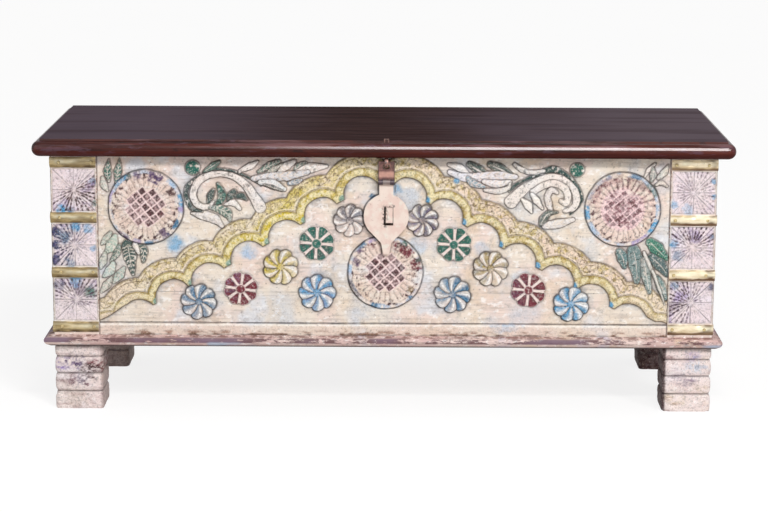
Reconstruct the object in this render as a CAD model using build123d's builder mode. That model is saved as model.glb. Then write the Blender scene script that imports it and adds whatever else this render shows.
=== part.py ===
from build123d import *
import os
from math import atan2, cos, radians, sin

os.makedirs("parts", exist_ok=True)

# Low wooden trunk with a carved front, on four block feet, with a hinged plank lid and an iron hasp.
# Millimetres. Origin at the bottom centre, +X along the length, the carved front faces -Y, +Z up.

# Fits
wood_fit = 0.2
pin_fit = 0.05
swing_gap = 0.6
screw_fit = 0.1
knuckle_side_gap = 0.2

# Lid
lid_end_overhang = 28.5
lid_side_overhang = 27.5
lid_thickness = 30.0
lid_step_height = 4.0
lid_step_inset = 14.0
lid_corner_radius = 15.0
lid_nose_flat = 0.5
lid_board_count = 3
batten_width = 42.0
batten_thickness = 16.0
batten_end_gap = 8.0
batten_chamfer = 2.0
batten_spacing = 620.0

# Carcass
body_length = 1143.0
body_depth = 395.0
body_top = 448.0
body_bottom = 133.0
post_width = 80.0
post_depth = 45.0
wall_thickness = 20.0
seam_height = 209.5
tongue_length = 8.0
tongue_thickness = 8.0
floor_thickness = 12.0
floor_board_count = 3
floor_fit = 0.5

# Plinth moulding under the walls
plinth_thickness = 19.0
plinth_overhang = 15.5
plinth_inner_width = 60.0
plinth_top_fall = 3.0
plinth_top_round = 4.0
plinth_under_rise = 9.0
plinth_under_inset = 11.0

# Feet
front_foot_side = 85.0
back_foot_side = 95.0
foot_groove_depth = 3.0
foot_lobe_shares = (31.0, 32.0, 30.0, 21.0)
back_foot_chamfer = 7.0
tenon_width = 34.0
tenon_depth = 20.0
tenon_rise = 18.0

# Brass corner straps and their nails
strap_count = 4
strap_height = 18.5
strap_thickness = 1.2
strap_bend_radius = 1.0
strap_side_length = 40.0
strap_end_gap = 1.5
strap_lowest_gap = 4.5
strap_highest_gap = 3.5
nail_head_radius = 3.0
nail_head_height = 1.4
nail_head_taper = 35.0
nail_shank_radius = 1.0
nail_length = 8.0
nail_end_inset = 8.0
nail_corner_inset = 15.0

# Back hinges
hinge_spacing = 400.0
hinge_count = 3
hinge_width = 76.0
hinge_knuckle_radius = 5.5
hinge_pin_radius = 2.5
hinge_leaf_thickness = 2.5
hinge_body_leaf_height = 45.0
hinge_lid_leaf_depth = 34.0
hinge_knuckle_count = 5
hinge_back_gap = 0.4
hinge_screw_spacing = 24.0
hinge_screw_count = 3

# Screws
screw_radius = 2.0
screw_head_radius = 3.8
screw_head_height = 2.0
wall_screw_length = 15.0
lid_screw_length = 18.0
batten_screw_length = 34.0

# Hasp
hasp_offset = 5.0
hasp_standoff = 6.0
hasp_axis_drop = 9.5
eye_radius = 9.0
eye_thickness = 3.0
eye_width = 6.0
shank_thickness = 3.2
prong_offset = 3.4
prong_width = 2.0
prong_height = 1.8
prong_gap = 0.2
link_width = 28.0
link_thickness = 3.0
link_length = 33.5
link_bar = 2.5
link_hole_width = 12.0
link_hole_reach = 10.8
hasp_knuckle_radius = 4.5
hasp_pin_radius = 1.75
plate_knuckle_width = 11.6
plate_thickness = 2.5
plate_neck_width = 24.0
plate_radius = 38.5
plate_drop = 59.5
plate_tip_drop = 66.5
plate_waist_drop = 47.0
plate_waist_half = 8.5
plate_tip_half = 5.0
plate_taper_angle = 45.0
slot_width = 16.0
slot_height = 33.0
slot_offset = 4.0
staple_width = 12.0
staple_height = 27.0
staple_side_shift = 1.2
staple_rise = 1.5
staple_proud = 0.5
staple_bar = 3.0
staple_leg = 5.0
staple_clinch = 3.0

# Carving of the front
carving_offset = 3.0
carving_depth = 1.8
carving_line = 2.6
roundel_radius = 65.0
roundel_ring_inset = 9.0
roundel_boss_radius = 33.0
side_roundel_reach = 409.5
side_roundel_height = 357.5
centre_roundel_height = 245.5
rosette_petals = 8
rosette_core_radius = 6.0
rosette_petal_start = 9.0
rosette_petal_end = 25.0
rosette_petal_width = 9.0
rosette_places = (
    (62.3, 336.0),
    (118.5, 295.0),
    (181.5, 253.0),
    (248.5, 215.2),
    (322.0, 191.6),
    (117.3, 207.5),
)
arch_lobes = 7
arch_lobe_length = 61.5
arch_lobe_fall = 34.0
arch_apex_reach = 39.0
arch_apex_height = 418.0
arch_lobe_rise = 16.0
arch_band_width = 26.0
border_line_height = 154.5

# Values worked out from those above
body_height = body_top - body_bottom
foot_height = body_bottom - plinth_thickness
lid_length = body_length + 2 * lid_end_overhang
lid_depth = body_depth + 2 * lid_side_overhang
half_length = body_length / 2
half_depth = body_depth / 2
groove_depth = tongue_length + wood_fit
groove_width = tongue_thickness + 2 * wood_fit
wall_centre_x = half_length - wall_thickness / 2
wall_centre_y = half_depth - wall_thickness / 2
post_centre_x = half_length - post_width / 2
post_centre_y = half_depth - post_depth / 2
long_board_length = body_length - 2 * post_width
short_board_length = body_depth - 2 * post_depth
tiers = {"lower": (body_bottom, seam_height), "upper": (seam_height, body_top)}
sides = {"left": -1, "right": 1}
faces = {"front": -1, "back": 1}
strap_first = body_bottom + strap_lowest_gap + strap_height / 2
strap_last = body_top - strap_highest_gap - strap_height / 2
strap_pitch = (strap_last - strap_first) / (strap_count - 1)
strap_heights = [strap_first + index * strap_pitch for index in range(strap_count)]
strap_front_length = post_width - strap_end_gap
hinge_axis_y = half_depth + hinge_back_gap + hinge_knuckle_radius
hinge_axis_z = body_top + hinge_leaf_thickness - hinge_knuckle_radius
hinge_places = [
    (index - (hinge_count - 1) / 2) * hinge_spacing for index in range(hinge_count)
]
hinge_names = [f"hinge_{index + 1}" for index in range(hinge_count)]
knuckle_length = hinge_width / hinge_knuckle_count
hasp_y = -(half_depth + hasp_standoff + hasp_knuckle_radius)
hasp_top_z = body_top - hasp_axis_drop
hasp_low_z = hasp_top_z - link_length
plate_back_y = -(half_depth + hasp_standoff)
plate_centre_z = hasp_low_z - plate_drop
slot_x = hasp_offset + slot_offset
staple_x = slot_x + staple_side_shift
staple_z = plate_centre_z + staple_rise
staple_leg_shift = (staple_height - staple_leg) / 2
batten_places = (-batten_spacing / 2, batten_spacing / 2)
batten_length = body_depth - 2 * wall_thickness - 2 * batten_end_gap
lid_board_depth = lid_depth / lid_board_count
batten_screw_spacing = batten_length / (2 * lid_board_count)


def save(piece, name):
    piece.part.label = name
    export_step(piece.part, f"parts/{name}.step")


def outward_plane(reach, outward_x, outward_y):
    """Upright plane whose local x points away from the trunk and whose local y points up."""
    away = Vector(outward_x, outward_y, 0)
    return Plane(origin=away * reach, x_dir=away, z_dir=away.cross(Vector(0, 0, 1)))


# Corner posts, grooved for the walls and mortised for the feet
for face, face_sign in faces.items():
    for side, side_sign in sides.items():
        corner_x = side_sign * half_length
        corner_y = face_sign * half_depth
        with BuildPart() as post:
            with BuildSketch(Plane.XY.offset(body_bottom)):
                with Locations((side_sign * post_centre_x, face_sign * post_centre_y)):
                    Rectangle(post_width, post_depth)
            extrude(amount=body_height)
            with BuildSketch(Plane.XY.offset(body_bottom)):
                with Locations((corner_x - side_sign * post_width, face_sign * wall_centre_y)):
                    Rectangle(2 * groove_depth, groove_width)
                with Locations((side_sign * wall_centre_x, corner_y - face_sign * post_depth)):
                    Rectangle(groove_width, 2 * groove_depth)
            extrude(amount=body_height, mode=Mode.SUBTRACT)
            with BuildSketch(Plane.XY.offset(body_bottom)):
                with Locations((side_sign * post_centre_x, face_sign * post_centre_y)):
                    Rectangle(tenon_width + 2 * wood_fit, tenon_depth + 2 * wood_fit)
            extrude(amount=tenon_rise + wood_fit, mode=Mode.SUBTRACT)
            if face == "front":
                front_nails = [
                    (corner_x - side_sign * nail_corner_inset, height) for height in strap_heights
                ] + [
                    (corner_x - side_sign * (strap_front_length - nail_end_inset), height)
                    for height in strap_heights
                ]
                with BuildSketch(Plane.XZ.offset(half_depth)):
                    with Locations(*front_nails):
                        Circle(nail_shank_radius + pin_fit)
                extrude(amount=-nail_length, mode=Mode.SUBTRACT)
                side_nails = [
                    (corner_y + nail_corner_inset, height) for height in strap_heights
                ] + [
                    (corner_y + strap_side_length - nail_end_inset, height)
                    for height in strap_heights
                ]
                with BuildSketch(Plane.YZ.offset(corner_x)):
                    with Locations(*side_nails):
                        Circle(nail_shank_radius + pin_fit)
                extrude(amount=-side_sign * nail_length, mode=Mode.SUBTRACT)
        save(post, f"{face}_post_{side}")

# Carving lines of the front, drawn once on the face of the boards
front_face = Plane.XZ.offset(half_depth)
roundels = [
    (carving_offset - side_roundel_reach, side_roundel_height),
    (carving_offset + side_roundel_reach, side_roundel_height),
    (carving_offset, centre_roundel_height),
]
rosettes = [
    (carving_offset + sign * reach, height) for reach, height in rosette_places for sign in (-1, 1)
]
with BuildPart() as carving:
    with BuildSketch(front_face):
        with Locations(*roundels):
            Circle(roundel_radius)
            Circle(roundel_radius - carving_line, mode=Mode.SUBTRACT)
        with Locations(*roundels):
            Circle(roundel_radius - roundel_ring_inset)
            Circle(roundel_radius - roundel_ring_inset - carving_line, mode=Mode.SUBTRACT)
        with Locations(*roundels):
            Circle(roundel_boss_radius)
            Circle(roundel_boss_radius - carving_line, mode=Mode.SUBTRACT)
        petal_centre = (rosette_petal_start + rosette_petal_end) / 2
        with Locations(*rosettes):
            with PolarLocations(petal_centre, rosette_petals):
                Ellipse((rosette_petal_end - rosette_petal_start) / 2, rosette_petal_width / 2)
        with Locations(*rosettes):
            Circle(rosette_core_radius)
        with Locations((0, border_line_height)):
            Rectangle(long_board_length, carving_line)
    extrude(amount=-carving_depth)

# The cusped arch is a chain of shallow arcs that falls from the hasp to both lower corners
arch_slope = atan2(arch_lobe_fall, arch_lobe_length)
with BuildPart() as arch:
    for sign in (-1, 1):
        for drop in (0, arch_band_width):
            with BuildSketch(front_face):
                with BuildLine():
                    for lobe in range(arch_lobes):
                        start_x = arch_apex_reach + lobe * arch_lobe_length
                        start_z = arch_apex_height - drop - lobe * arch_lobe_fall
                        end_x = start_x + arch_lobe_length
                        end_z = start_z - arch_lobe_fall
                        middle_x = (start_x + end_x) / 2 + arch_lobe_rise * sin(arch_slope)
                        middle_z = (start_z + end_z) / 2 + arch_lobe_rise * cos(arch_slope)
                        ThreePointArc(
                            (carving_offset + sign * start_x, start_z),
                            (carving_offset + sign * middle_x, middle_z),
                            (carving_offset + sign * end_x, end_z),
                        )
                trace(line_width=carving_line)
            extrude(amount=-carving_depth)

# Wall boards, tongued into the posts
for face, face_sign in faces.items():
    for tier, (low, high) in tiers.items():
        with BuildPart() as long_board:
            with BuildSketch(Plane.XY.offset(low)):
                with Locations((0, face_sign * wall_centre_y)):
                    Rectangle(long_board_length, wall_thickness)
                    Rectangle(long_board_length + 2 * tongue_length, tongue_thickness)
            extrude(amount=high - low)
            if face == "front":
                add(carving.part, mode=Mode.SUBTRACT)
                add(arch.part, mode=Mode.SUBTRACT)
            if face == "front" and tier == "upper":
                with BuildSketch(front_face):
                    with Locations(
                        (staple_x, staple_z - staple_leg_shift),
                        (staple_x, staple_z + staple_leg_shift),
                    ):
                        Rectangle(staple_width + 2 * wood_fit, staple_leg + 2 * wood_fit)
                extrude(amount=-wall_thickness, mode=Mode.SUBTRACT)
            if face == "back" and tier == "upper":
                screw_z = hinge_axis_z - hinge_body_leaf_height / 2
                with BuildSketch(Plane.XZ.offset(-half_depth)):
                    for place in hinge_places:
                        with Locations((place, screw_z)):
                            with GridLocations(hinge_screw_spacing, 0, hinge_screw_count, 1):
                                Circle(screw_radius + screw_fit)
                extrude(amount=wall_screw_length + screw_fit, mode=Mode.SUBTRACT)
        save(long_board, f"{face}_board_{tier}")

for side, side_sign in sides.items():
    for tier, (low, high) in tiers.items():
        with BuildPart() as short_board:
            with BuildSketch(Plane.XY.offset(low)):
                with Locations((side_sign * wall_centre_x, 0)):
                    Rectangle(wall_thickness, short_board_length)
                    Rectangle(tongue_thickness, short_board_length + 2 * tongue_length)
            extrude(amount=high - low)
        save(short_board, f"{side}_board_{tier}")

# Floor boards, laid on the plinth and notched round the posts
floor_length = body_length - 2 * wall_thickness - 2 * floor_fit
floor_depth = body_depth - 2 * wall_thickness - 2 * floor_fit
floor_board_depth = floor_depth / floor_board_count
floor_names = ("front", "middle", "back")
for index, name in enumerate(floor_names):
    board_y = (index - (floor_board_count - 1) / 2) * floor_board_depth
    with BuildPart() as floor_board:
        with BuildSketch(Plane.XY.offset(body_bottom)):
            with Locations((0, board_y)):
                Rectangle(floor_length, floor_board_depth)
            with Locations(
                *[
                    (side_sign * post_centre_x, face_sign * post_centre_y)
                    for side_sign in (-1, 1)
                    for face_sign in (-1, 1)
                ]
            ):
                Rectangle(
                    post_width + 2 * floor_fit, post_depth + 2 * floor_fit, mode=Mode.SUBTRACT
                )
        extrude(amount=floor_thickness)
    save(floor_board, f"floor_board_{name}")

# Plinth members, mitred at the corners and pierced for the tenons of the feet
plinth_members = {
    "plinth_front": (0, -1),
    "plinth_back": (0, 1),
    "plinth_left": (-1, 0),
    "plinth_right": (1, 0),
}
outer_half_length = half_length + plinth_overhang
outer_half_depth = half_depth + plinth_overhang
inner_half_length = half_length - plinth_inner_width
inner_half_depth = half_depth - plinth_inner_width
for name, (away_x, away_y) in plinth_members.items():
    reach = half_length if away_x else half_depth
    run = outer_half_depth if away_x else outer_half_length
    nose_z = body_bottom - plinth_top_fall - plinth_top_round
    with BuildPart() as member:
        with BuildSketch(outward_plane(reach, away_x, away_y)):
            with BuildLine():
                Polyline(
                    (plinth_overhang - plinth_under_inset, foot_height),
                    (-plinth_inner_width, foot_height),
                    (-plinth_inner_width, body_bottom),
                    (0, body_bottom),
                    (plinth_overhang - plinth_top_round, body_bottom - plinth_top_fall),
                )
                Spline(
                    (plinth_overhang - plinth_top_round, body_bottom - plinth_top_fall),
                    (plinth_overhang, nose_z),
                    tangents=((1, -plinth_top_fall / plinth_overhang), (0, -1)),
                )
                Spline(
                    (plinth_overhang, nose_z),
                    (plinth_overhang - plinth_under_inset, foot_height),
                    tangents=((0, -1), (-1, -plinth_under_rise / plinth_overhang)),
                )
            make_face()
        extrude(amount=run, both=True)
        with BuildSketch(Plane.XY):
            with BuildLine():
                if away_x:
                    Polyline(
                        (away_x * outer_half_length, -outer_half_depth),
                        (away_x * outer_half_length, outer_half_depth),
                        (away_x * inner_half_length, inner_half_depth),
                        (away_x * inner_half_length, -inner_half_depth),
                        close=True,
                    )
                else:
                    Polyline(
                        (-outer_half_length, away_y * outer_half_depth),
                        (outer_half_length, away_y * outer_half_depth),
                        (inner_half_length, away_y * inner_half_depth),
                        (-inner_half_length, away_y * inner_half_depth),
                        close=True,
                    )
            make_face()
        extrude(amount=body_top, mode=Mode.INTERSECT)
        with BuildSketch(Plane.XY):
            with GridLocations(2 * post_centre_x, 2 * post_centre_y, 2, 2):
                Rectangle(tenon_width + 2 * wood_fit, tenon_depth + 2 * wood_fit)
        extrude(amount=body_top, mode=Mode.SUBTRACT)
    save(member, name)

# Feet: square blocks with three grooves all round and a tenon up through the plinth
lobe_scale = foot_height / sum(foot_lobe_shares)
for face, face_sign in faces.items():
    foot_side = front_foot_side if face == "front" else back_foot_side
    half_side = foot_side / 2
    for side, side_sign in sides.items():
        foot_x = side_sign * (half_length - half_side)
        foot_y = face_sign * (half_depth - half_side)
        with BuildPart() as foot:
            for plane, mode in (
                (Plane((foot_x, foot_y, 0), x_dir=(1, 0, 0), z_dir=(0, -1, 0)), Mode.ADD),
                (Plane((foot_x, foot_y, 0), x_dir=(0, 1, 0), z_dir=(1, 0, 0)), Mode.INTERSECT),
            ):
                with BuildSketch(plane):
                    with BuildLine():
                        base = 0
                        waist = half_side - foot_groove_depth
                        for share in foot_lobe_shares:
                            top = base + share * lobe_scale
                            for sign in (-1, 1):
                                ThreePointArc(
                                    (sign * waist, base),
                                    (sign * half_side, (base + top) / 2),
                                    (sign * waist, top),
                                )
                            base = top
                        Line((-waist, 0), (waist, 0))
                        Line((-waist, foot_height), (waist, foot_height))
                    make_face()
                extrude(amount=foot_side, both=True, mode=mode)
            if face == "back":
                inner_foot_edges = foot.faces().sort_by(Axis.Z)[0].edges().filter_by(Axis.Y)
                inner_foot_edge = inner_foot_edges.sort_by(Axis.X)[-1 if side_sign < 0 else 0]
                chamfer(inner_foot_edge, length=back_foot_chamfer)
            with BuildSketch(Plane.XY.offset(foot_height)):
                with Locations((side_sign * post_centre_x, face_sign * post_centre_y)):
                    Rectangle(tenon_width, tenon_depth)
            extrude(amount=plinth_thickness + tenon_rise)
        save(foot, f"{face}_foot_{side}")

# Brass straps bent round the front corners
for side, side_sign in sides.items():
    corner_x = side_sign * half_length
    for index, height in enumerate(strap_heights):
        with BuildPart() as strap:
            with BuildSketch(Plane.XY.offset(height - strap_height / 2)):
                with BuildLine():
                    Polyline(
                        (corner_x - side_sign * strap_front_length, -half_depth),
                        (corner_x, -half_depth),
                        (corner_x, -half_depth + strap_side_length),
                        (corner_x + side_sign * strap_thickness, -half_depth + strap_side_length),
                        (corner_x + side_sign * strap_thickness, -half_depth - strap_thickness),
                        (corner_x - side_sign * strap_front_length, -half_depth - strap_thickness),
                        close=True,
                    )
                make_face()
            extrude(amount=strap_height)
            upright_edges = strap.edges().filter_by(Axis.Z)
            corner_axis = Axis((0, 0, 0), (side_sign, -1, 0))
            corner_edge = upright_edges.sort_by(corner_axis)[-1]
            fillet(corner_edge, radius=strap_bend_radius)
            with BuildSketch(front_face):
                with Locations(
                    (corner_x - side_sign * nail_corner_inset, height),
                    (corner_x - side_sign * (strap_front_length - nail_end_inset), height),
                ):
                    Circle(nail_shank_radius + pin_fit)
            extrude(amount=strap_thickness, mode=Mode.SUBTRACT)
            with BuildSketch(Plane.YZ.offset(corner_x)):
                with Locations(
                    (-half_depth + nail_corner_inset, height),
                    (-half_depth + strap_side_length - nail_end_inset, height),
                ):
                    Circle(nail_shank_radius + pin_fit)
            extrude(amount=side_sign * strap_thickness, mode=Mode.SUBTRACT)
        save(strap, f"corner_strap_{side}_{index + 1}")

# Round headed nails of the straps
for side, side_sign in sides.items():
    corner_x = side_sign * half_length
    nail_spots = []
    for height in strap_heights:
        for reach in (nail_corner_inset, strap_front_length - nail_end_inset):
            spot = (corner_x - side_sign * reach, -half_depth - strap_thickness, height)
            nail_spots.append(Plane(origin=spot, x_dir=(1, 0, 0), z_dir=(0, -1, 0)))
        for reach in (nail_corner_inset, strap_side_length - nail_end_inset):
            spot = (corner_x + side_sign * strap_thickness, -half_depth + reach, height)
            nail_spots.append(Plane(origin=spot, x_dir=(0, 1, 0), z_dir=(side_sign, 0, 0)))
    with BuildPart() as nails:
        for spot in nail_spots:
            with BuildSketch(spot):
                Circle(nail_head_radius)
            extrude(amount=nail_head_height, taper=nail_head_taper)
            with BuildSketch(spot):
                Circle(nail_shank_radius)
            extrude(amount=-(nail_length + strap_thickness - wood_fit))
    save(nails, f"strap_nails_{side}")

# Lid blank with a square step over a rounded nose
lid_nose_height = lid_thickness - lid_step_height
nose_round = (lid_nose_height - lid_nose_flat) / 2
with BuildPart() as lid_blank:
    with BuildSketch(Plane.XY.offset(body_top)):
        RectangleRounded(lid_length, lid_depth, lid_corner_radius)
    extrude(amount=lid_nose_height)
    nose_edges = lid_blank.edges().filter_by(Axis.Z, reverse=True)
    fillet(nose_edges, radius=nose_round)
    with BuildSketch(Plane.XY.offset(body_top + lid_nose_height)):
        Rectangle(lid_length - 2 * lid_step_inset, lid_depth - 2 * lid_step_inset)
    extrude(amount=lid_step_height)
    # Holes for the batten screws, the hinges and the split pin of the hasp
    with BuildSketch(Plane.XY.offset(body_top)):
        for place in batten_places:
            with Locations((place, 0)):
                with GridLocations(0, batten_screw_spacing, 1, 2 * lid_board_count):
                    Circle(screw_radius + screw_fit)
    extrude(amount=batten_screw_length - batten_thickness + screw_fit, mode=Mode.SUBTRACT)
    pocket_low = hinge_axis_y - hinge_lid_leaf_depth - wood_fit
    barrel_low = hinge_axis_y - hinge_knuckle_radius - swing_gap
    barrel_high = hinge_axis_y + hinge_knuckle_radius + swing_gap
    with BuildSketch(Plane.XY.offset(body_top)):
        for place in hinge_places:
            with Locations((place, (pocket_low + barrel_high) / 2)):
                Rectangle(hinge_width + 2 * wood_fit, barrel_high - pocket_low)
    extrude(amount=hinge_leaf_thickness, mode=Mode.SUBTRACT)
    with BuildSketch(Plane.XY.offset(body_top)):
        for place in hinge_places:
            with Locations((place, (barrel_low + barrel_high) / 2)):
                Rectangle(hinge_width + 2 * (wood_fit + swing_gap), barrel_high - barrel_low)
    extrude(amount=hinge_leaf_thickness + swing_gap, mode=Mode.SUBTRACT)
    lid_screw_y = (pocket_low + half_depth) / 2
    with BuildSketch(Plane.XY.offset(body_top)):
        for place in hinge_places:
            with Locations((place, lid_screw_y)):
                with GridLocations(hinge_screw_spacing, 0, hinge_screw_count, 1):
                    Circle(screw_radius + screw_fit)
    extrude(amount=lid_screw_length + screw_fit, mode=Mode.SUBTRACT)
    with BuildSketch(Plane.XY.offset(body_top)):
        with Locations((hasp_offset, hasp_y)):
            Rectangle(eye_width + 2 * wood_fit, shank_thickness + 2 * wood_fit)
    extrude(amount=lid_thickness, mode=Mode.SUBTRACT)

# Lid boards, edge to edge
lid_names = ("front", "middle", "back")
for index, name in enumerate(lid_names):
    board_y = (index - (lid_board_count - 1) / 2) * lid_board_depth
    with BuildPart() as lid_board:
        add(lid_blank.part)
        with BuildSketch(Plane.XY.offset(body_top)):
            with Locations((0, board_y)):
                Rectangle(lid_length, lid_board_depth)
        extrude(amount=lid_thickness, mode=Mode.INTERSECT)
    save(lid_board, f"lid_board_{name}")

# Battens across the underside of the lid
for side, place in zip(sides, batten_places):
    with BuildPart() as batten:
        with BuildSketch(Plane.XY.offset(body_top - batten_thickness)):
            with Locations((place, 0)):
                Rectangle(batten_width, batten_length)
        extrude(amount=batten_thickness)
        bottom_edges = batten.faces().sort_by(Axis.Z)[0].edges()
        chamfer(bottom_edges, length=batten_chamfer)
        underside = Plane((place, 0, body_top - batten_thickness), x_dir=(1, 0, 0), z_dir=(0, 0, -1))
        with Locations(underside):
            with GridLocations(0, batten_screw_spacing, 1, 2 * lid_board_count):
                CounterSinkHole(screw_radius + screw_fit, screw_head_radius + screw_fit)
    save(batten, f"lid_batten_{side}")


def drive_screws(spots, length):
    """Countersunk screws, heads on the given planes, shanks along minus the plane normal."""
    with BuildPart() as screws:
        for spot in spots:
            with BuildSketch(spot):
                Circle(screw_head_radius)
            with BuildSketch(spot.offset(-screw_head_height)):
                Circle(screw_radius)
            loft()
            with BuildSketch(spot):
                Circle(screw_radius)
            extrude(amount=-length)
    return screws


batten_spots = []
for place in batten_places:
    for index in range(2 * lid_board_count):
        spot_y = (index - lid_board_count + 0.5) * batten_screw_spacing
        origin = (place, spot_y, body_top - batten_thickness + screw_fit)
        batten_spots.append(Plane(origin=origin, x_dir=(1, 0, 0), z_dir=(0, 0, -1)))
save(drive_screws(batten_spots, batten_screw_length - screw_fit), "batten_screws")

# Back hinges: a leaf on the wall, a leaf let into the lid and a pin through their knuckles
body_screw_spots = []
lid_screw_spots = []
screw_row = [
    (index - (hinge_screw_count - 1) / 2) * hinge_screw_spacing for index in range(hinge_screw_count)
]
for name, place in zip(hinge_names, hinge_places):
    knuckle_places = [
        place + (index - (hinge_knuckle_count - 1) / 2) * knuckle_length
        for index in range(hinge_knuckle_count)
    ]
    body_knuckles = knuckle_places[0::2]
    lid_knuckles = knuckle_places[1::2]
    leaf_screw_z = hinge_axis_z - hinge_body_leaf_height / 2
    with BuildPart() as body_leaf:
        with BuildSketch(Plane.XZ.offset(-half_depth)):
            with Locations((place, leaf_screw_z)):
                Rectangle(hinge_width, hinge_body_leaf_height)
            notch_height = 2 * (hinge_knuckle_radius + swing_gap)
            with Locations(*[(spot, hinge_axis_z) for spot in lid_knuckles]):
                Rectangle(knuckle_length, notch_height, mode=Mode.SUBTRACT)
        extrude(amount=-hinge_leaf_thickness)
        for spot in body_knuckles:
            with BuildSketch(Plane.YZ.offset(spot)):
                with Locations((hinge_axis_y, hinge_axis_z)):
                    Circle(hinge_knuckle_radius)
            extrude(amount=(knuckle_length - knuckle_side_gap) / 2, both=True)
        with BuildSketch(Plane.YZ.offset(place)):
            with Locations((hinge_axis_y, hinge_axis_z)):
                Circle(hinge_pin_radius + pin_fit)
        extrude(amount=hinge_width, both=True, mode=Mode.SUBTRACT)
        leaf_face = (place, half_depth + hinge_leaf_thickness, leaf_screw_z)
        with Locations(Plane(leaf_face, x_dir=(1, 0, 0), z_dir=(0, 1, 0))):
            with GridLocations(hinge_screw_spacing, 0, hinge_screw_count, 1):
                CounterSinkHole(screw_radius + screw_fit, screw_head_radius + screw_fit)
    save(body_leaf, f"{name}_wall_leaf")

    leaf_middle_y = hinge_axis_y - hinge_lid_leaf_depth / 2
    with BuildPart() as lid_leaf:
        with BuildSketch(Plane.XY.offset(body_top)):
            with Locations((place, leaf_middle_y)):
                Rectangle(hinge_width, hinge_lid_leaf_depth)
            with Locations(*[(spot, hinge_axis_y) for spot in body_knuckles]):
                Rectangle(knuckle_length, notch_height, mode=Mode.SUBTRACT)
        extrude(amount=hinge_leaf_thickness)
        for spot in lid_knuckles:
            with BuildSketch(Plane.YZ.offset(spot)):
                with Locations((hinge_axis_y, hinge_axis_z)):
                    Circle(hinge_knuckle_radius)
            extrude(amount=(knuckle_length - knuckle_side_gap) / 2, both=True)
        with BuildSketch(Plane.YZ.offset(place)):
            with Locations((hinge_axis_y, hinge_axis_z)):
                Circle(hinge_pin_radius + pin_fit)
        extrude(amount=hinge_width, both=True, mode=Mode.SUBTRACT)
        with Locations(Plane((place, lid_screw_y, body_top), x_dir=(1, 0, 0), z_dir=(0, 0, -1))):
            with GridLocations(hinge_screw_spacing, 0, hinge_screw_count, 1):
                CounterSinkHole(screw_radius + screw_fit, screw_head_radius + screw_fit)
    save(lid_leaf, f"{name}_lid_leaf")

    with BuildPart() as hinge_pin:
        with BuildSketch(Plane.YZ.offset(place)):
            with Locations((hinge_axis_y, hinge_axis_z)):
                Circle(hinge_pin_radius)
        extrude(amount=hinge_width / 2, both=True)
    save(hinge_pin, f"{name}_pin")

    for shift in screw_row:
        wall_spot = (place + shift, half_depth + hinge_leaf_thickness - screw_fit, leaf_screw_z)
        body_screw_spots.append(Plane(origin=wall_spot, x_dir=(1, 0, 0), z_dir=(0, 1, 0)))
        lid_spot = (place + shift, lid_screw_y, body_top + screw_fit)
        lid_screw_spots.append(Plane(origin=lid_spot, x_dir=(1, 0, 0), z_dir=(0, 0, -1)))
save(drive_screws(body_screw_spots, wall_screw_length), "hinge_wall_screws")
save(drive_screws(lid_screw_spots, lid_screw_length - screw_fit), "hinge_lid_screws")

# Split pin: an eye under the lid, a shank through it and two prongs clinched over the front edge
lid_top = body_top + lid_thickness
step_y = -(lid_depth / 2 - lid_step_inset)
with BuildPart() as split_pin:
    with BuildSketch(Plane.YZ.offset(hasp_offset)):
        with Locations((hasp_y, hasp_top_z)):
            Circle(eye_radius)
            Circle(eye_radius - eye_thickness, mode=Mode.SUBTRACT)
    extrude(amount=eye_width / 2, both=True)
    shank_bottom = hasp_top_z + eye_radius - eye_thickness / 2
    with BuildSketch(Plane.XY.offset(shank_bottom)):
        with Locations((hasp_offset, hasp_y)):
            Rectangle(eye_width, shank_thickness)
    extrude(amount=lid_top + prong_height - shank_bottom)
    for sign in (-1, 1):
        with BuildSketch(Plane.YZ.offset(hasp_offset + sign * prong_offset)):
            with BuildLine():
                Polyline(
                    (hasp_y + shank_thickness / 2, lid_top + prong_gap),
                    (hasp_y + shank_thickness / 2, lid_top + prong_height),
                    (step_y - prong_height, lid_top + prong_height),
                    (step_y - prong_height, lid_top - lid_step_height + prong_gap),
                    (step_y - prong_gap, lid_top - lid_step_height + prong_gap),
                    (step_y - prong_gap, lid_top + prong_gap),
                    close=True,
                )
            make_face()
        extrude(amount=prong_width / 2, both=True)
save(split_pin, "hasp_split_pin")

# Hasp link, hanging from the eye
outer_knuckle_width = (link_width - plate_knuckle_width) / 2 - knuckle_side_gap
with BuildPart() as link:
    with BuildSketch(Plane.XZ.offset(-hasp_y)):
        with Locations((hasp_offset, (hasp_top_z + link_bar + hasp_low_z) / 2)):
            Rectangle(link_width, link_length + link_bar)
        with Locations((hasp_offset, hasp_low_z)):
            Rectangle(
                plate_knuckle_width + 2 * knuckle_side_gap,
                2 * (hasp_knuckle_radius + swing_gap),
                mode=Mode.SUBTRACT,
            )
        with Locations((hasp_offset, hasp_top_z - (link_bar + link_hole_reach) / 2)):
            SlotOverall(link_hole_width, link_hole_reach - link_bar, mode=Mode.SUBTRACT)
    extrude(amount=link_thickness / 2, both=True)
    for sign in (-1, 1):
        shift = sign * (link_width - outer_knuckle_width) / 2
        with BuildSketch(Plane.YZ.offset(hasp_offset + shift)):
            with Locations((hasp_y, hasp_low_z)):
                Circle(hasp_knuckle_radius)
        extrude(amount=outer_knuckle_width / 2, both=True)
    with BuildSketch(Plane.YZ.offset(hasp_offset)):
        with Locations((hasp_y, hasp_low_z)):
            Circle(hasp_pin_radius + pin_fit)
    extrude(amount=link_width, both=True, mode=Mode.SUBTRACT)
save(link, "hasp_link")

with BuildPart() as hasp_pin:
    with BuildSketch(Plane.YZ.offset(hasp_offset)):
        with Locations((hasp_y, hasp_low_z)):
            Circle(hasp_pin_radius)
    extrude(amount=link_width / 2, both=True)
save(hasp_pin, "hasp_pin")

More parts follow.
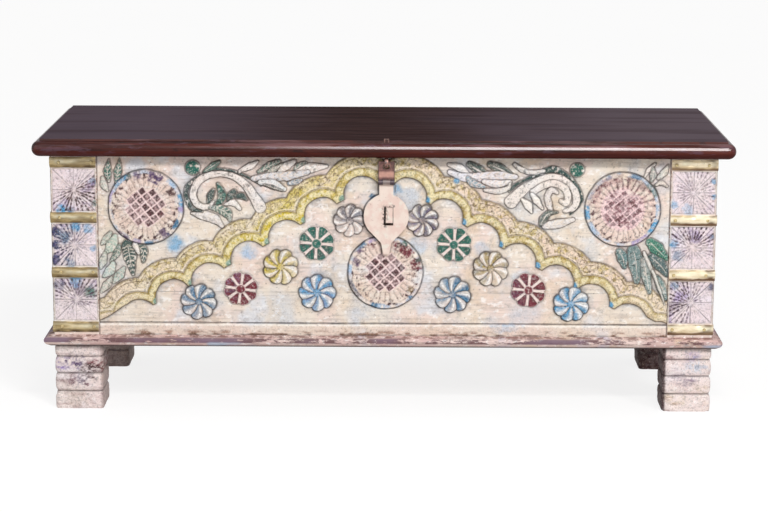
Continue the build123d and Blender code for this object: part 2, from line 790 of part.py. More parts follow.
# Hasp plate: a knuckle, a neck, a round plate with the slot and a tapered tip
with BuildPart() as plate:
    with BuildSketch(Plane.XZ.offset(-plate_back_y)):
        with Locations((hasp_offset, plate_centre_z)):
            Circle(plate_radius)
        with Locations((hasp_offset, (hasp_low_z + plate_centre_z) / 2)):
            Rectangle(plate_neck_width, plate_drop)
        taper_x = plate_radius * sin(radians(plate_taper_angle))
        taper_z = plate_centre_z - plate_radius * cos(radians(plate_taper_angle))
        with BuildLine():
            Polyline(
                (hasp_offset - taper_x, taper_z),
                (hasp_offset - plate_waist_half, plate_centre_z - plate_waist_drop),
                (hasp_offset - plate_tip_half, plate_centre_z - plate_tip_drop),
                (hasp_offset + plate_tip_half, plate_centre_z - plate_tip_drop),
                (hasp_offset + plate_waist_half, plate_centre_z - plate_waist_drop),
                (hasp_offset + taper_x, taper_z),
                close=True,
            )
        make_face()
        for sign in (-1, 1):
            clear_width = link_width - plate_knuckle_width
            with Locations((hasp_offset + sign * link_width / 2, hasp_low_z)):
                Rectangle(
                    clear_width, 2 * (hasp_knuckle_radius + swing_gap), mode=Mode.SUBTRACT
                )
        with Locations((slot_x, plate_centre_z)):
            Rectangle(slot_width, slot_height, mode=Mode.SUBTRACT)
    extrude(amount=plate_thickness)
    with BuildSketch(Plane.YZ.offset(hasp_offset)):
        with Locations((hasp_y, hasp_low_z)):
            Circle(hasp_knuckle_radius)
    extrude(amount=plate_knuckle_width / 2, both=True)
    with BuildSketch(Plane.YZ.offset(hasp_offset)):
        with Locations((hasp_y, hasp_low_z)):
            Circle(hasp_pin_radius + pin_fit)
    extrude(amount=link_width, both=True, mode=Mode.SUBTRACT)
save(plate, "hasp_plate")

# Staple behind the slot: a flat loop whose legs pass through the wall and are clinched inside
staple_front_y = plate_back_y - staple_proud
staple_back_y = -half_depth + wall_thickness
with BuildPart() as staple:
    with BuildSketch(Plane.YZ.offset(staple_x)):
        with Locations(((staple_front_y + staple_back_y + staple_clinch) / 2, staple_z)):
            Rectangle(staple_back_y + staple_clinch - staple_front_y, staple_height)
        inner_low = staple_front_y + staple_bar
        inner_high = staple_back_y + staple_clinch
        with Locations(((inner_low + inner_high) / 2, staple_z)):
            Rectangle(inner_high - inner_low, staple_height - 2 * staple_leg, mode=Mode.SUBTRACT)
        for sign in (-1, 1):
            with Locations(
                (staple_back_y + wood_fit + staple_clinch / 2, staple_z + sign * staple_height / 2)
            ):
                Rectangle(staple_clinch - 2 * wood_fit, 2 * staple_leg)
    extrude(amount=staple_width / 2, both=True)
save(staple, "hasp_staple")
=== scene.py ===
import math

import bpy
import numpy as np
from mathutils import Matrix, Vector


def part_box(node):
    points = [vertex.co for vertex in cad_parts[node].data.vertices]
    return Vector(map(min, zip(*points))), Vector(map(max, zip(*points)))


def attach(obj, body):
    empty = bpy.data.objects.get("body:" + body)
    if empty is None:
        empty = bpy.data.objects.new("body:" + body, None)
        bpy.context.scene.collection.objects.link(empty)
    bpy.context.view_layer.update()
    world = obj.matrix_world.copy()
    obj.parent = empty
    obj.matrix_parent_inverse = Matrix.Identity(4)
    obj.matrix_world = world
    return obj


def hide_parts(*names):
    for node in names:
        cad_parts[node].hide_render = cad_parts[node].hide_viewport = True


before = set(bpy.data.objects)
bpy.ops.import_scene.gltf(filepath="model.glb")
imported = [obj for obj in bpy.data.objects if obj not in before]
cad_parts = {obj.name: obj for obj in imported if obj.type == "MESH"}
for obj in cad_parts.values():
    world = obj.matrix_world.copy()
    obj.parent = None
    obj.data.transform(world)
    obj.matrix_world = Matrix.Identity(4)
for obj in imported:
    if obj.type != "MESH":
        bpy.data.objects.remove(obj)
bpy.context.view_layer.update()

# Low wooden trunk: carved and painted front, dark polished lid, brass corner straps, iron hasp.
# Shapes are worked out in millimetres and turned into metres when a mesh is made.
MM = 0.001
FRONT = -197.5
POST_EDGE = 491.5
BODY_END = 571.5
BODY_LOW = 133.0
BODY_TOP = 448.0
SEAM = 209.5
SEAM_GAP = 0.2
WALL_BACK = -177.5
POST_BACK = -152.5
POST_MIDDLE = 531.5
POST_HALF = 40
SQUARE_HALF = 36.5
CARVING_PITCH = 1.1
PANEL_GROUND = -2.3
ROUNDEL_REACH = 72
FOOT_LOBES = (31.0, 32.0, 30.0, 21.0)
FOOT_GROOVE = 5.0
FOOT_SQUARENESS = 14
STRAP_HEIGHTS = (146.75, 242.9, 339.1, 435.25)
STRAP_FRONT = 78.5
STRAP_SIDE = 40.0
STRAP_HEIGHT = 18.5
SLOT_X = 9
SLOT_Z = 345.5
LINK_X = 5


def tint(red, green, blue):
    """A colour written as 0 to 255, as the renderer's linear values."""
    return tuple(
        c / 255 / 12.92 if c <= 10 else ((c / 255 + 0.055) / 1.055) ** 2.4
        for c in (red, green, blue)
    )


LIME = tint(230, 218, 204)
ROSE_LIME = tint(230, 208, 198)
COOL_LIME = tint(218, 220, 226)
SAND = tint(216, 192, 162)
# Dark grime, also the colour of painted shade
GRIME_AND_SHADE = tint(54, 44, 42)
TEAL = tint(0, 98, 84)
DEEP_GREEN = tint(14, 66, 62)
MOSS = tint(120, 156, 140)
GREY_TEAL = tint(66, 118, 120)
YELLOW = tint(208, 184, 28)
OLIVE_GOLD = tint(150, 126, 36)
SKY = tint(70, 158, 206)
BLUE = tint(36, 110, 150)
NAVY = tint(36, 52, 98)
MIST = tint(170, 194, 220)
LILAC = tint(162, 140, 196)
PURPLE = tint(88, 62, 104)
MAROON = tint(112, 26, 44)
DARK_MAROON = tint(70, 30, 36)
GREY = tint(96, 88, 96)
OLD_GREY = tint(112, 116, 108)
WHITE = tint(246, 243, 240)


# ---------------------------------------------------------------- shaders


class Shade:
    """A socket of a material's nodes. Sums and products of sockets add Math nodes."""

    def __init__(self, tree, socket=None):
        self.tree = tree
        self.socket = socket

    def node(self, kind, settings=None, values=None, output=0):
        """Adds a node: its settings first, then the values or links of its sockets."""
        made = self.tree.nodes.new("ShaderNode" + kind)
        for name, value in (settings or {}).items():
            setattr(made, name, value)
        for name, value in (values or {}).items():
            if isinstance(value, Shade):
                self.tree.links.new(value.socket, made.inputs[name])
            else:
                made.inputs[name].default_value = value
        return Shade(self.tree, made.outputs[output])

    def math(self, operation, first, second=0.0, clamp=False):
        return self.node(
            "Math", {"operation": operation, "use_clamp": clamp}, {0: first, 1: second}
        )

    def __add__(self, other):
        return self.math("ADD", self, other)

    def __sub__(self, other):
        return self.math("SUBTRACT", self, other)

    def __mul__(self, other):
        return self.math("MULTIPLY", self, other)

    def __rsub__(self, other):
        return self.math("SUBTRACT", other, self)

    def __abs__(self):
        return self.math("ABSOLUTE", self)

    __radd__ = __add__
    __rmul__ = __mul__

    def greater(self, other):
        """The greater of two values."""
        return self.math("MAXIMUM", self, other)

    def part(self, axis):
        """One coordinate of a place, or one channel of a colour."""
        return self.node("SeparateXYZ", {}, {0: self}, axis)

    def carried(self, layer, output="Color"):
        """What the mesh's points carry in a colour layer."""
        return self.node("VertexColor", {"layer_name": layer}, output=output)

    def step(self, low, high):
        """0 below low, 1 above high, smooth between them (low may be the larger)."""
        return self.node(
            "MapRange",
            {"interpolation_type": "SMOOTHSTEP"},
            {"Value": self, "From Min": low, "From Max": high},
        )

    def over(self, lower, upper):
        """The colour upper where this mask is 1, lower where it is 0."""
        colours = [v if isinstance(v, Shade) else (*v, 1.0) for v in (lower, upper)]
        return self.node("Mix", {"data_type": "RGBA"}, {0: self, 6: colours[0], 7: colours[1]}, 2)

    def under(self, *layers):
        """This colour with layers over it, each given as its mask and its colour."""
        colour = self
        for mask, upper in layers:
            colour = mask.over(colour, upper)
        return colour

    def flecks(self, size, stretch=(1, 1, 1), detail=3.0, roughness=0.5, shift=0.0):
        """Noise with patches about size metres across; this socket is the place it is read at."""
        scaled = self.node(
            "VectorMath",
            {"operation": "MULTIPLY_ADD"},
            {0: self, 1: [1 / (size * s) for s in stretch], 2: (shift, shift, shift)},
        )
        return self.node(
            "TexNoise",
            {},
            {"Vector": scaled, "Scale": 1.0, "Detail": detail, "Roughness": roughness},
        )


def new_finish(name, **sockets):
    """A material with its constant shader values, and the place each surface point is at rest."""
    material = bpy.data.materials.new(name)
    material.use_nodes = True
    shader = material.node_tree.nodes["Principled BSDF"]
    for socket, value in sockets.items():
        shader.inputs[socket.replace("_", " ")].default_value = value
    return material, Shade(material.node_tree).node("TexCoord", output="Object")


def connect(material, colour, roughness=None, bump=None, depth=0.0005, **sockets):
    """Links the varying values to the shader."""
    tree = material.node_tree
    shader = tree.nodes["Principled BSDF"]
    if bump is not None:
        values = {"Height": bump, "Strength": 1.0, "Distance": depth}
        sockets["Normal"] = bump.node("Bump", {}, values, "Normal")
    for socket, value in {"Base_Color": colour, "Roughness": roughness, **sockets}.items():
        if value is not None:
            tree.links.new(value.socket, shader.inputs[socket.replace("_", " ")])
    return material


def limewashed(name, base, rose, cool, dirt=0.35, along=(14, 1, 1)):
    """Thin lime paint on planed wood: warm and cold blushes, brush streaks, scuffs and dirt."""
    material, place = new_finish(name, Specular_IOR_Level=0.25)
    blush = place.flecks(0.08).step(0.42, 0.6) * 0.8
    warm = place.flecks(0.05, shift=2.2).step(0.55, 0.7) * 0.55
    chill = place.flecks(0.06, shift=7.3).step(0.54, 0.68) * 0.8
    grain = place.flecks(0.0045, along, roughness=0.6)
    dabs = place.flecks(0.007, (1.5, 1, 1), shift=4.4).step(0.56, 0.68) * 0.55
    smear = place.flecks(0.02, (2.5, 1, 1), 4.0, 0.65, 3.1).step(0.56, 0.74)
    scuff = place.flecks(0.0042, roughness=0.65, shift=1.7)
    colour = blush.over(base, rose).under(
        (warm, SAND),
        (chill, cool),
        (grain.step(0.5, 0.74) * (0.25 + dirt * 0.5), tint(168, 152, 142)),
        (dabs, tint(252, 249, 247)),
        (smear * dirt * scuff.step(0.4, 0.6), tint(136, 122, 118)),
        (scuff.step(0.635, 0.7) * (0.25 + dirt * 0.7), tint(112, 94, 88)),
    )
    return material, place, colour, 0.6 + grain * 0.2, grain * 0.5 + scuff * 0.5


def carved_paint():
    """Limewash with the brushed colours, the dirt, and the painted shade and highlights that the
    carving's point colours carry.
    """
    material, place, colour, roughness, height = limewashed(
        "carved_limewash", LIME, ROSE_LIME, COOL_LIME, dirt=0.55
    )
    paint, cover = place.carried("paint"), place.carried("paint", "Alpha")
    marks, ridge = place.carried("marks"), place.carried("marks", "Alpha")
    dirt, rub, shade_and_sheen = marks.part(0), marks.part(1), marks.part(2)
    worn_and_lit_ridge = tint(250, 244, 238)
    brushed = place.flecks(0.006, (1.6, 1, 1), 4.0, 0.7)
    fine = place.flecks(0.0026, roughness=0.65, shift=5.2)
    laid = cover * (0.7 + 0.6 * brushed) - cover * fine.step(0.56, 0.68) * 0.55
    paint = (brushed.step(0.52, 0.78) * 0.4).over(paint, WHITE).under(
        (fine.step(0.5, 0.36) * 0.45, GRIME_AND_SHADE),
        # Painted shade in the hollows and a painted highlight on the ridges, over the paint.
        (shade_and_sheen * 0.5, GRIME_AND_SHADE),
        (ridge * fine.step(0.5, 0.6) * 0.5, worn_and_lit_ridge),
    )
    colour = colour.under(
        # Grey painted shade round the carved shapes, and a painted highlight on worn ridges.
        (shade_and_sheen * brushed.step(0.3, 0.7), tint(140, 144, 150)),
        (ridge * brushed.step(0.34, 0.6), worn_and_lit_ridge),
        (laid.math("MULTIPLY", laid, 1.0, clamp=True), paint),
        (rub * fine.step(0.4, 0.58), tint(150, 100, 84)),
        # Dirt, with the painted shade that rides in the same layer.
        (dirt * (0.62 + 0.5 * fine), GRIME_AND_SHADE),
    )
    return connect(material, colour, roughness, height, 0.0007)


def plain_paint(name, along):
    """Limewash alone, with its grain along one of the three axes."""
    material, _, colour, roughness, height = limewashed(
        name, LIME, ROSE_LIME, COOL_LIME, along=along
    )
    return connect(material, colour, roughness, height)


def bare_wood():
    """Unpainted softwood inside the trunk, browned with age."""
    material, place = new_finish("bare_softwood", Specular_IOR_Level=0.3)
    rings = place.flecks(0.02, (22, 1, 1), 4.0, 0.6)
    stain = place.flecks(0.12).step(0.5, 0.75) * 0.4
    colour = rings.step(0.3, 0.7).over(tint(160, 118, 78), tint(118, 82, 54))
    return connect(
        material, colour.under((stain, tint(92, 66, 46))), 0.6 + rings * 0.25, rings, 0.0006
    )


def polished_wood():
    """Dark stained lid, worn dull on the flat top and glossy on its moulded edge, with a painted
    reflection on the top and a painted highlight and shade on the nose.
    """
    material, place = new_finish(
        "waxed_dark_lid", Specular_IOR_Level=0.0, Coat_Roughness=0.2, Coat_IOR=1.5
    )
    x, z = place.part(0), place.part(2)
    streak = place.flecks(0.014, (26, 1, 1), 4.0, 0.65)
    fine = place.flecks(0.003, (30, 1, 1), roughness=0.6)
    wide = place.flecks(0.2, (1.6, 2, 1), shift=0.6)
    dark = place.flecks(0.05, (9, 1, 1), shift=3.7).step(0.52, 0.66) * 0.35
    dents = place.flecks(0.012, (4, 1, 1), 4.0, 0.7, 4.0)
    highlight_streaks = place.flecks(0.02, (12, 1, 1), roughness=0.6, shift=8.1).step(0.46, 0.6)
    # Paler grey-purple towards both ends and to the right of the top: a painted reflection.
    ends = abs(x + wide * 0.3 - 0.13).step(0.02, 0.42)
    top = streak.step(0.32, 0.68).over(tint(37, 15, 15), tint(58, 33, 31)).under(
        (ends * (0.4 + 0.5 * wide), tint(97, 84, 96)),
        (x.step(0.1, 0.5) * (0.15 + 0.4 * wide), tint(108, 96, 100)),
        (dark, tint(44, 20, 20)),
        (fine.step(0.52, 0.7) * 0.3, tint(104, 84, 84)),
    )
    edge = streak.step(0.34, 0.64).over(tint(38, 12, 10), tint(88, 34, 24)).under(
        (dents.step(0.55, 0.66) * 0.5, tint(96, 72, 86)),
        (dents.step(0.42, 0.32) * 0.7, tint(30, 12, 14)),
        # Painted highlight along the upper nose, and painted shade along its lower part.
        (z.step(0.462, 0.470) * highlight_streaks * 0.6, tint(132, 96, 98)),
        (z.step(0.4605, 0.4545) * 0.7, tint(66, 20, 14)),
    )
    on_top = z.step(0.4772, 0.4778)
    gloss = (1.0 - 0.9 * on_top) * (0.75 + 0.5 * streak)
    gloss = gloss * (0.25 + 0.75 * z.step(0.4575, 0.4645))
    return connect(
        material, on_top.over(edge, top), 0.4 + fine * 0.14, dents * 0.7 + streak * 0.3, 0.0012,
        Coat_Weight=gloss,
    )


def metal_finish(
    name, bright, dull, dark, metallic, low_rough, size=0.01, dark_from=0.55, tarnished=False
):
    """Old metal: rubbed areas, a duller film and dark spots; straps carry a tarnished film with
    painted shade along their lower edges, and a painted highlight band.
    """
    material, place = new_finish(name)
    film = place.flecks(size, (6, 6, 1) if tarnished else (1, 1, 1), 4.0, 0.6)
    spots = place.flecks(size * 0.4, shift=9.0)
    worn = spots.step(dark_from, dark_from + 0.14)
    colour = film.step(0.36, 0.62).over(tint(*dull), tint(*bright)).under((worn * 0.8, tint(*dark)))
    if tarnished:
        marks = place.carried("marks")
        # Tarnish with painted shade, and a painted highlight band.
        colour = colour.under(
            (marks.part(0) * (0.5 + film), tint(*dark)),
            (marks.part(2) * (0.4 + film), tint(252, 244, 214)),
        )
    return connect(
        material, colour, low_rough + spots * 0.25, film * 0.7 + spots * 0.3,
        Metallic=metallic - worn * 0.3,
    )


def plinth_paint():
    """Limewashed moulding, worn to dark wood along its upper nose, with painted shade along its
    lower edge and underneath.
    """
    material, place, colour, roughness, height = limewashed(
        "limewashed_plinth", tint(226, 202, 194), tint(208, 172, 168), tint(206, 200, 216), 0.8
    )
    up = place.part(2)
    stipple = place.flecks(0.0045, (3.5, 3.5, 1), 4.0, 0.7)
    stretch = place.flecks(0.11, detail=2.0, shift=5.0)
    band = up.step(0.1205, 0.1235) * up.step(0.1318, 0.129)
    worn = band * (stipple * 0.7 + stretch * 0.8).step(0.64, 0.74)
    shelf = up.step(0.1298, 0.1315) * stipple.step(0.42, 0.56)
    cold = place.flecks(0.05, (2, 2, 1), 2.0, shift=8.8).step(0.62, 0.7) * up.step(0.126, 0.12)
    colour = colour.under(
        (worn * 0.9, stretch.step(0.45, 0.6).over(tint(92, 56, 60), tint(108, 82, 104))),
        (shelf * 0.8, tint(118, 80, 70)),
        (cold * 0.7, MIST),
        # Painted shade along the lower edge and underneath.
        (up.step(0.1185, 0.1150), tint(62, 44, 40)),
    )
    return connect(material, colour, roughness, height + worn * -0.5, 0.0007)


def hasp_plate_paint():
    """Pale paint over iron, chipped to dark metal beside and above the slot."""
    material, place = new_finish("painted_iron_plate", Specular_IOR_Level=0.4)
    x, z = place.part(0), place.part(2)
    tone = place.flecks(0.02)
    pale = place.flecks(0.012, shift=3.0).step(0.52, 0.7) * 0.7
    chips = place.flecks(0.0032, roughness=0.7, shift=6.0)
    beside, above = abs(x - SLOT_X * MM) - 0.008, abs(z - SLOT_Z * MM) - 0.0165
    corner = x.step(0.0105, 0.002).greater(z.step(0.360, 0.3625))
    near_slot = beside.greater(above).step(0.0055, 0.0) * corner * chips.step(0.48, 0.56)
    colour = tone.step(0.4, 0.6).over(tint(230, 212, 200), tint(224, 198, 186)).under(
        (pale, tint(228, 222, 210)),
        (near_slot * 0.9, tint(58, 36, 34)),
        (chips.step(0.66, 0.7) * 0.7, tint(150, 104, 92)),
        (z.step(0.399, 0.4035) * 0.8, tint(70, 50, 52)),
    )
    return connect(material, colour, 0.4 + tone * 0.2, chips * 0.5 + tone * 0.5)


def link_iron():
    """Brown iron link, rubbed pink across its middle, dark at its edges and knuckle."""
    material, place = new_finish("rubbed_iron_link", Specular_IOR_Level=0.5)
    x, z = place.part(0), place.part(2)
    film = place.flecks(0.008, detail=4.0, roughness=0.65)
    rubbed = z.step(0.412, 0.416) * z.step(0.426, 0.421)
    edge = abs(x - LINK_X * MM).step(0.0118, 0.0136)
    colour = film.step(0.38, 0.62).over(tint(74, 44, 42), tint(124, 84, 76)).under(
        (rubbed * (0.5 + film * 0.6), tint(196, 148, 132)),
        (edge * 0.8, tint(52, 34, 34)),
        (z.step(0.4115, 0.4085) * 0.85, tint(50, 40, 50)),
    )
    return connect(
        material, colour, 0.38 + film * 0.3, film, 0.0006, Metallic=0.15 + film * 0.2
    )


CARVED = carved_paint()
WALL = plain_paint("limewashed_wall", (14, 1, 1))
END_WALL = plain_paint("limewashed_end", (1, 14, 1))
POST = plain_paint("limewashed_post", (1, 1, 14))
PLINTH = plinth_paint()
BARE = bare_wood()
LID = polished_wood()
BRASS_LEFT, BRASS_RIGHT, NAIL, IRON, BLACK_IRON, SCREW = (
    metal_finish(*settings)
    for settings in (
        ("olive_brass", (190, 168, 122), (132, 112, 74), (74, 56, 36), 0.7, 0.3, 0.007, 0.62, True),
        (
            "pale_brass", (238, 222, 194), (204, 180, 140), (96, 68, 46), 0.65, 0.26, 0.007, 0.62,
            True,
        ),
        ("brass_nail_heads", (214, 196, 150), (176, 156, 112), (110, 90, 62), 0.6, 0.35, 0.004),
        ("rubbed_iron", (150, 110, 98), (96, 66, 60), (40, 28, 30), 0.35, 0.4, 0.01, 0.5),
        ("black_iron_hinge", (70, 66, 66), (44, 40, 40), (96, 60, 44), 0.6, 0.45, 0.01, 0.62),
        ("steel_screw", (150, 146, 140), (110, 104, 98), (80, 56, 44), 0.8, 0.4, 0.004, 0.6),
    )
)
LINK = link_iron()
PAINTED_IRON = hasp_plate_paint()


# ---------------------------------------------------------------- meshes


def make_piece(name, points, faces, finish, body, nodes, sharp=38):
    """A mesh piece from points in millimetres, riding on a body, standing for CAD nodes."""
    mesh = bpy.data.meshes.new(name)
    points = np.asarray(points, float)
    faces = [np.asarray(group, np.int64) for group in faces]
    sizes = np.concatenate([np.full(len(group), group.shape[1]) for group in faces])
    starts = np.concatenate([[0], np.cumsum(sizes)[:-1]])
    corners = np.concatenate([group.ravel() for group in faces])
    mesh.vertices.add(len(points))
    mesh.vertices.foreach_set("co", (points * MM).astype(np.float32).ravel())
    mesh.loops.add(len(corners))
    mesh.loops.foreach_set("vertex_index", corners.astype(np.int32))
    mesh.polygons.add(len(sizes))
    mesh.polygons.foreach_set("loop_start", starts.astype(np.int32))
    mesh.polygons.foreach_set("use_smooth", np.ones(len(sizes), bool))
    mesh.update(calc_edges=True)
    mesh.validate()
    mesh.set_sharp_from_angle(angle=math.radians(sharp))
    mesh.materials.append(finish)
    piece = bpy.data.objects.new(name, mesh)
    bpy.context.collection.objects.link(piece)
    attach(piece, body)
    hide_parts(*nodes)
    return piece


def grid_faces(rows, columns, first=0, closed=False):
    """Quads between the points of a grid that was numbered row by row."""
    sides = np.arange(columns if closed else columns - 1)
    row, column = np.meshgrid(np.arange(rows - 1), sides, indexing="ij")
    corner = first + row * columns + column
    side = first + row * columns + (column + 1) % columns
    return np.stack([corner, side, side + columns, corner + columns], -1).reshape(-1, 4)


def grid_border(rows, columns):
    """The numbers of a grid's outer points, in order round it."""
    number = np.arange(rows * columns).reshape(rows, columns)
    return np.concatenate([number[0, :-1], number[:-1, -1], number[-1, :0:-1], number[:0:-1, 0]])


def unit(values):
    """Values held between 0 and 1."""
    return np.clip(values, 0, 1)


def soft(distance, width):
    """1 inside an edge and 0 outside it, over a width."""
    share = unit(0.5 - distance / width)
    return share * share * (3 - 2 * share)


def line(distance, width):
    """1 on a line, falling to 0 at half its width."""
    return unit(1 - np.abs(distance) * 2 / width)


def cloud(x, z, size, seed):
    """Smooth random values from 0 to 1 in patches about size millimetres across."""
    lattice = np.random.default_rng(seed).random((256, 256))
    total = 0
    for octave, weight in ((1, 0.6), (2, 0.27), (4, 0.13)):
        u = (x + 1000) * octave / size
        v = (z + 1000) * octave / size
        column, row = np.floor(u).astype(int), np.floor(v).astype(int)
        du, dv = u - column, v - row
        du, dv = du * du * (3 - 2 * du), dv * dv * (3 - 2 * dv)
        corner = [lattice[(column + i) % 256, (row + j) % 256] for i in (0, 1) for j in (0, 1)]
        low = corner[0] * (1 - dv) + corner[1] * dv
        high = corner[2] * (1 - dv) + corner[3] * dv
        total = total + weight * (low * (1 - du) + high * du)
    return total


def blurred(grid, reach):
    """A grid's values averaged over squares of cells, twice."""
    for axis in (0, 1, 0, 1):
        margin = [(0, 0), (0, 0)]
        margin[axis] = (reach + 1, reach)
        total = np.cumsum(np.pad(grid, margin, mode="edge"), axis=axis)
        after = np.take(total, range(2 * reach + 1, total.shape[axis]), axis)
        before = np.take(total, range(total.shape[axis] - 2 * reach - 1), axis)
        grid = (after - before) / (2 * reach + 1)
    return grid


def curve(points, steps=10):
    """Points along a smooth curve through the given ones."""
    knots = np.array(points, float)
    ends = np.concatenate([[2 * knots[0] - knots[1]], knots, [2 * knots[-1] - knots[-2]]])
    t = np.linspace(0, 1, steps, endpoint=False)[:, None]
    pieces = []
    for a, b, c, d in zip(ends, ends[1:], ends[2:], ends[3:]):
        bend = (2 * a - 5 * b + 4 * c - d) * t**2 + (3 * b - a - 3 * c + d) * t**3
        pieces.append(0.5 * (2 * b + (c - a) * t + bend))
    return np.concatenate(pieces + [knots[-1:]])


class Patch:
    """Some of a relief's points, worked on together."""

    def __init__(self, relief, where):
        self.relief = relief
        self.where = where
        self.x, self.z = relief.x[where], relief.z[where]

    def lift(self, amount):
        self.relief.height[self.where] += amount

    def level(self, mask, height):
        """Brings the surface to a height where the mask is 1."""
        self.lift(mask * (height - self.relief.height[self.where]))

    def soil(self, dirt):
        """Lays dirt where there is less."""
        self.relief.dirt[self.where] = np.maximum(self.relief.dirt[self.where], dirt)

    def cut(self, mask, depth, dirt=0.8):
        """Cuts a groove and lets dirt gather in it."""
        self.lift(-mask * depth)
        self.soil(mask * dirt)

    def brush(self, mask, colour):
        """Lays paint over what is there."""
        relief, where, mask = self.relief, self.where, unit(mask)
        before = relief.cover[where]
        after = before + mask - before * mask
        share = np.where(after > 1e-6, mask / np.maximum(after, 1e-6), 0)[:, None]
        relief.paint[where] = relief.paint[where] * (1 - share) + np.array(colour) * share
        relief.cover[where] = after

    def clear(self, mask):
        """Takes paint and dirt away."""
        self.relief.cover[self.where] *= 1 - mask
        self.relief.dirt[self.where] *= 1 - mask


class Relief(Patch):
    """Height, paint, wear, and painted shade and highlights over all the points of a carved face,
    in millimetres.
    """

    def __init__(self, x, z, ground):
        self.x, self.z = x, z
        super().__init__(self, slice(None))
        self.height = np.full(len(x), float(ground))
        self.paint = np.zeros((len(x), 3))
        self.cover, self.dirt, self.rub, self.shade_and_sheen, self.ridge = np.zeros((5, len(x)))

    def settle(self, rows, columns):
        """Darkens the hollows with dirt and painted shade, lays a grey painted shade round the
        carved shapes, and pales the ridges with wear and a painted highlight.
        """
        height = self.height.reshape(rows, columns)
        hollow = (blurred(height, 3) - height).ravel()
        wide = (blurred(height, 9) - height).ravel()
        patchy, broken = cloud(self.x, self.z, 15, 18), cloud(self.x, self.z, 6, 29)
        # Hollows darken: dirt with painted shade.
        self.soil(np.clip(hollow * 0.8 - 0.18, 0, 0.65))
        self.dirt *= unit(0.45 + broken * 1.1)
        # A grey painted shade spreads round the carved shapes from the hollows and the dirt.
        shade_halo = blurred(self.dirt.reshape(rows, columns), 4).ravel()
        shade_halo = (wide * 0.35 + shade_halo * 0.9) * (0.1 + 1.5 * patchy)
        self.shade_and_sheen = np.clip(shade_halo - 0.1, 0, 0.75)
        # Ridges turn pale: worn paint with a painted highlight.
        self.ridge = np.clip(-hollow * 1.4 - 0.2, 0, 0.7) * (1 - 0.7 * self.cover)

    def near(self, x, z, reach):
        """The points around a place."""
        close = (np.abs(self.x - x) < reach) & (np.abs(self.z - z) < reach)
        return Patch(self, np.flatnonzero(close))

    def polar(self, centre, reach):
        """The points around a centre, with their distance and direction from it."""
        spot = self.near(*centre, reach)
        dx, dz = spot.x - centre[0], spot.z - centre[1]
        return spot, np.hypot(dx, dz), np.degrees(np.arctan2(dz, dx)) % 360

    def stroke(self, points, widths, margin=6):
        """A band along a smooth curve: distance from its edge, place along it, side of it."""
        path = curve(points)
        steps = np.linspace(0, 1, len(path)), np.linspace(0, 1, len(widths))
        half = np.interp(*steps, widths)
        low, high = path.min(0), path.max(0)
        spot = self.near(*(low + high) / 2, (high - low).max() / 2 + max(widths) + margin)
        edge = np.full(len(spot.x), 1e3)
        along, across = np.zeros((2, len(spot.x)))
        for index, (start, end) in enumerate(zip(path, path[1:])):
            run = end - start
            ox, oz = spot.x - start[0], spot.z - start[1]
            share = unit((ox * run[0] + oz * run[1]) / max(run @ run, 1e-9))
            ox, oz = ox - share * run[0], oz - share * run[1]
            away = np.hypot(ox, oz)
            width = half[index] + share * (half[index + 1] - half[index])
            closer = away - width < edge
            edge = np.where(closer, away - width, edge)
            along = np.where(closer, (index + share) / (len(path) - 1), along)
            side = np.sign(run[0] * oz - run[1] * ox)
            across = np.where(closer, side * away / np.maximum(width, 0.1), across)
        return spot, edge, along, across


def leaf(
    relief, points, widths, colour, amount=0.9, veins=0.0, outline=2.4, dark=0.9, rib=True,
    chips=0.5,
):
    """A carved leaf or stem: crowned, outlined by a groove, with a midrib, side veins and chips."""
    spot, edge, along, across = relief.stroke(points, widths)
    x, z = spot.x, spot.z
    edge = edge + (cloud(x, z, 6, 20) - 0.5) * 1.6
    inside = soft(edge, 1.2)
    spot.level(inside, 0.5 - 1.1 * np.minimum(np.abs(across), 1) ** 2)
    spot.clear(inside)
    worn, grit = cloud(x, z, 12, 21), cloud(x, z, 3.6, 22)
    spot.brush(inside * amount * unit(0.55 + worn * 1.2), colour)
    green = colour[0] < 0.1
    spot.brush(
        inside * amount * unit(grit * 5 - 2.8) * (0.7 if green else 0.4),
        DEEP_GREEN if green else OLD_GREY,
    )
    if rib:
        mask = line(across * max(widths), 2.0) * inside * soft(along - 0.93, 0.1)
        spot.lift(mask * 0.7)
        spot.clear(mask * 0.95)
    if veins:
        length = np.hypot(*np.diff(curve(points), axis=0).T).sum()
        wave = np.cos(2 * np.pi * (along * length / veins - np.abs(across) * 0.7))
        mask = unit(wave * 2 - 0.9) * inside * (np.abs(across) > 0.18)
        spot.lift(mask * -0.6)
        spot.clear(mask * 0.9)
    spot.cut(inside * unit(grit * 6 - 3.9) * chips, 0.8, 0.8)
    spot.clear(inside * unit(cloud(x, z, 4.2, 23) * 6 - 3.9) * chips)
    spot.cut(line(edge - 0.6, outline) * unit(0.35 + 1.3 * worn), 1.6, dark)


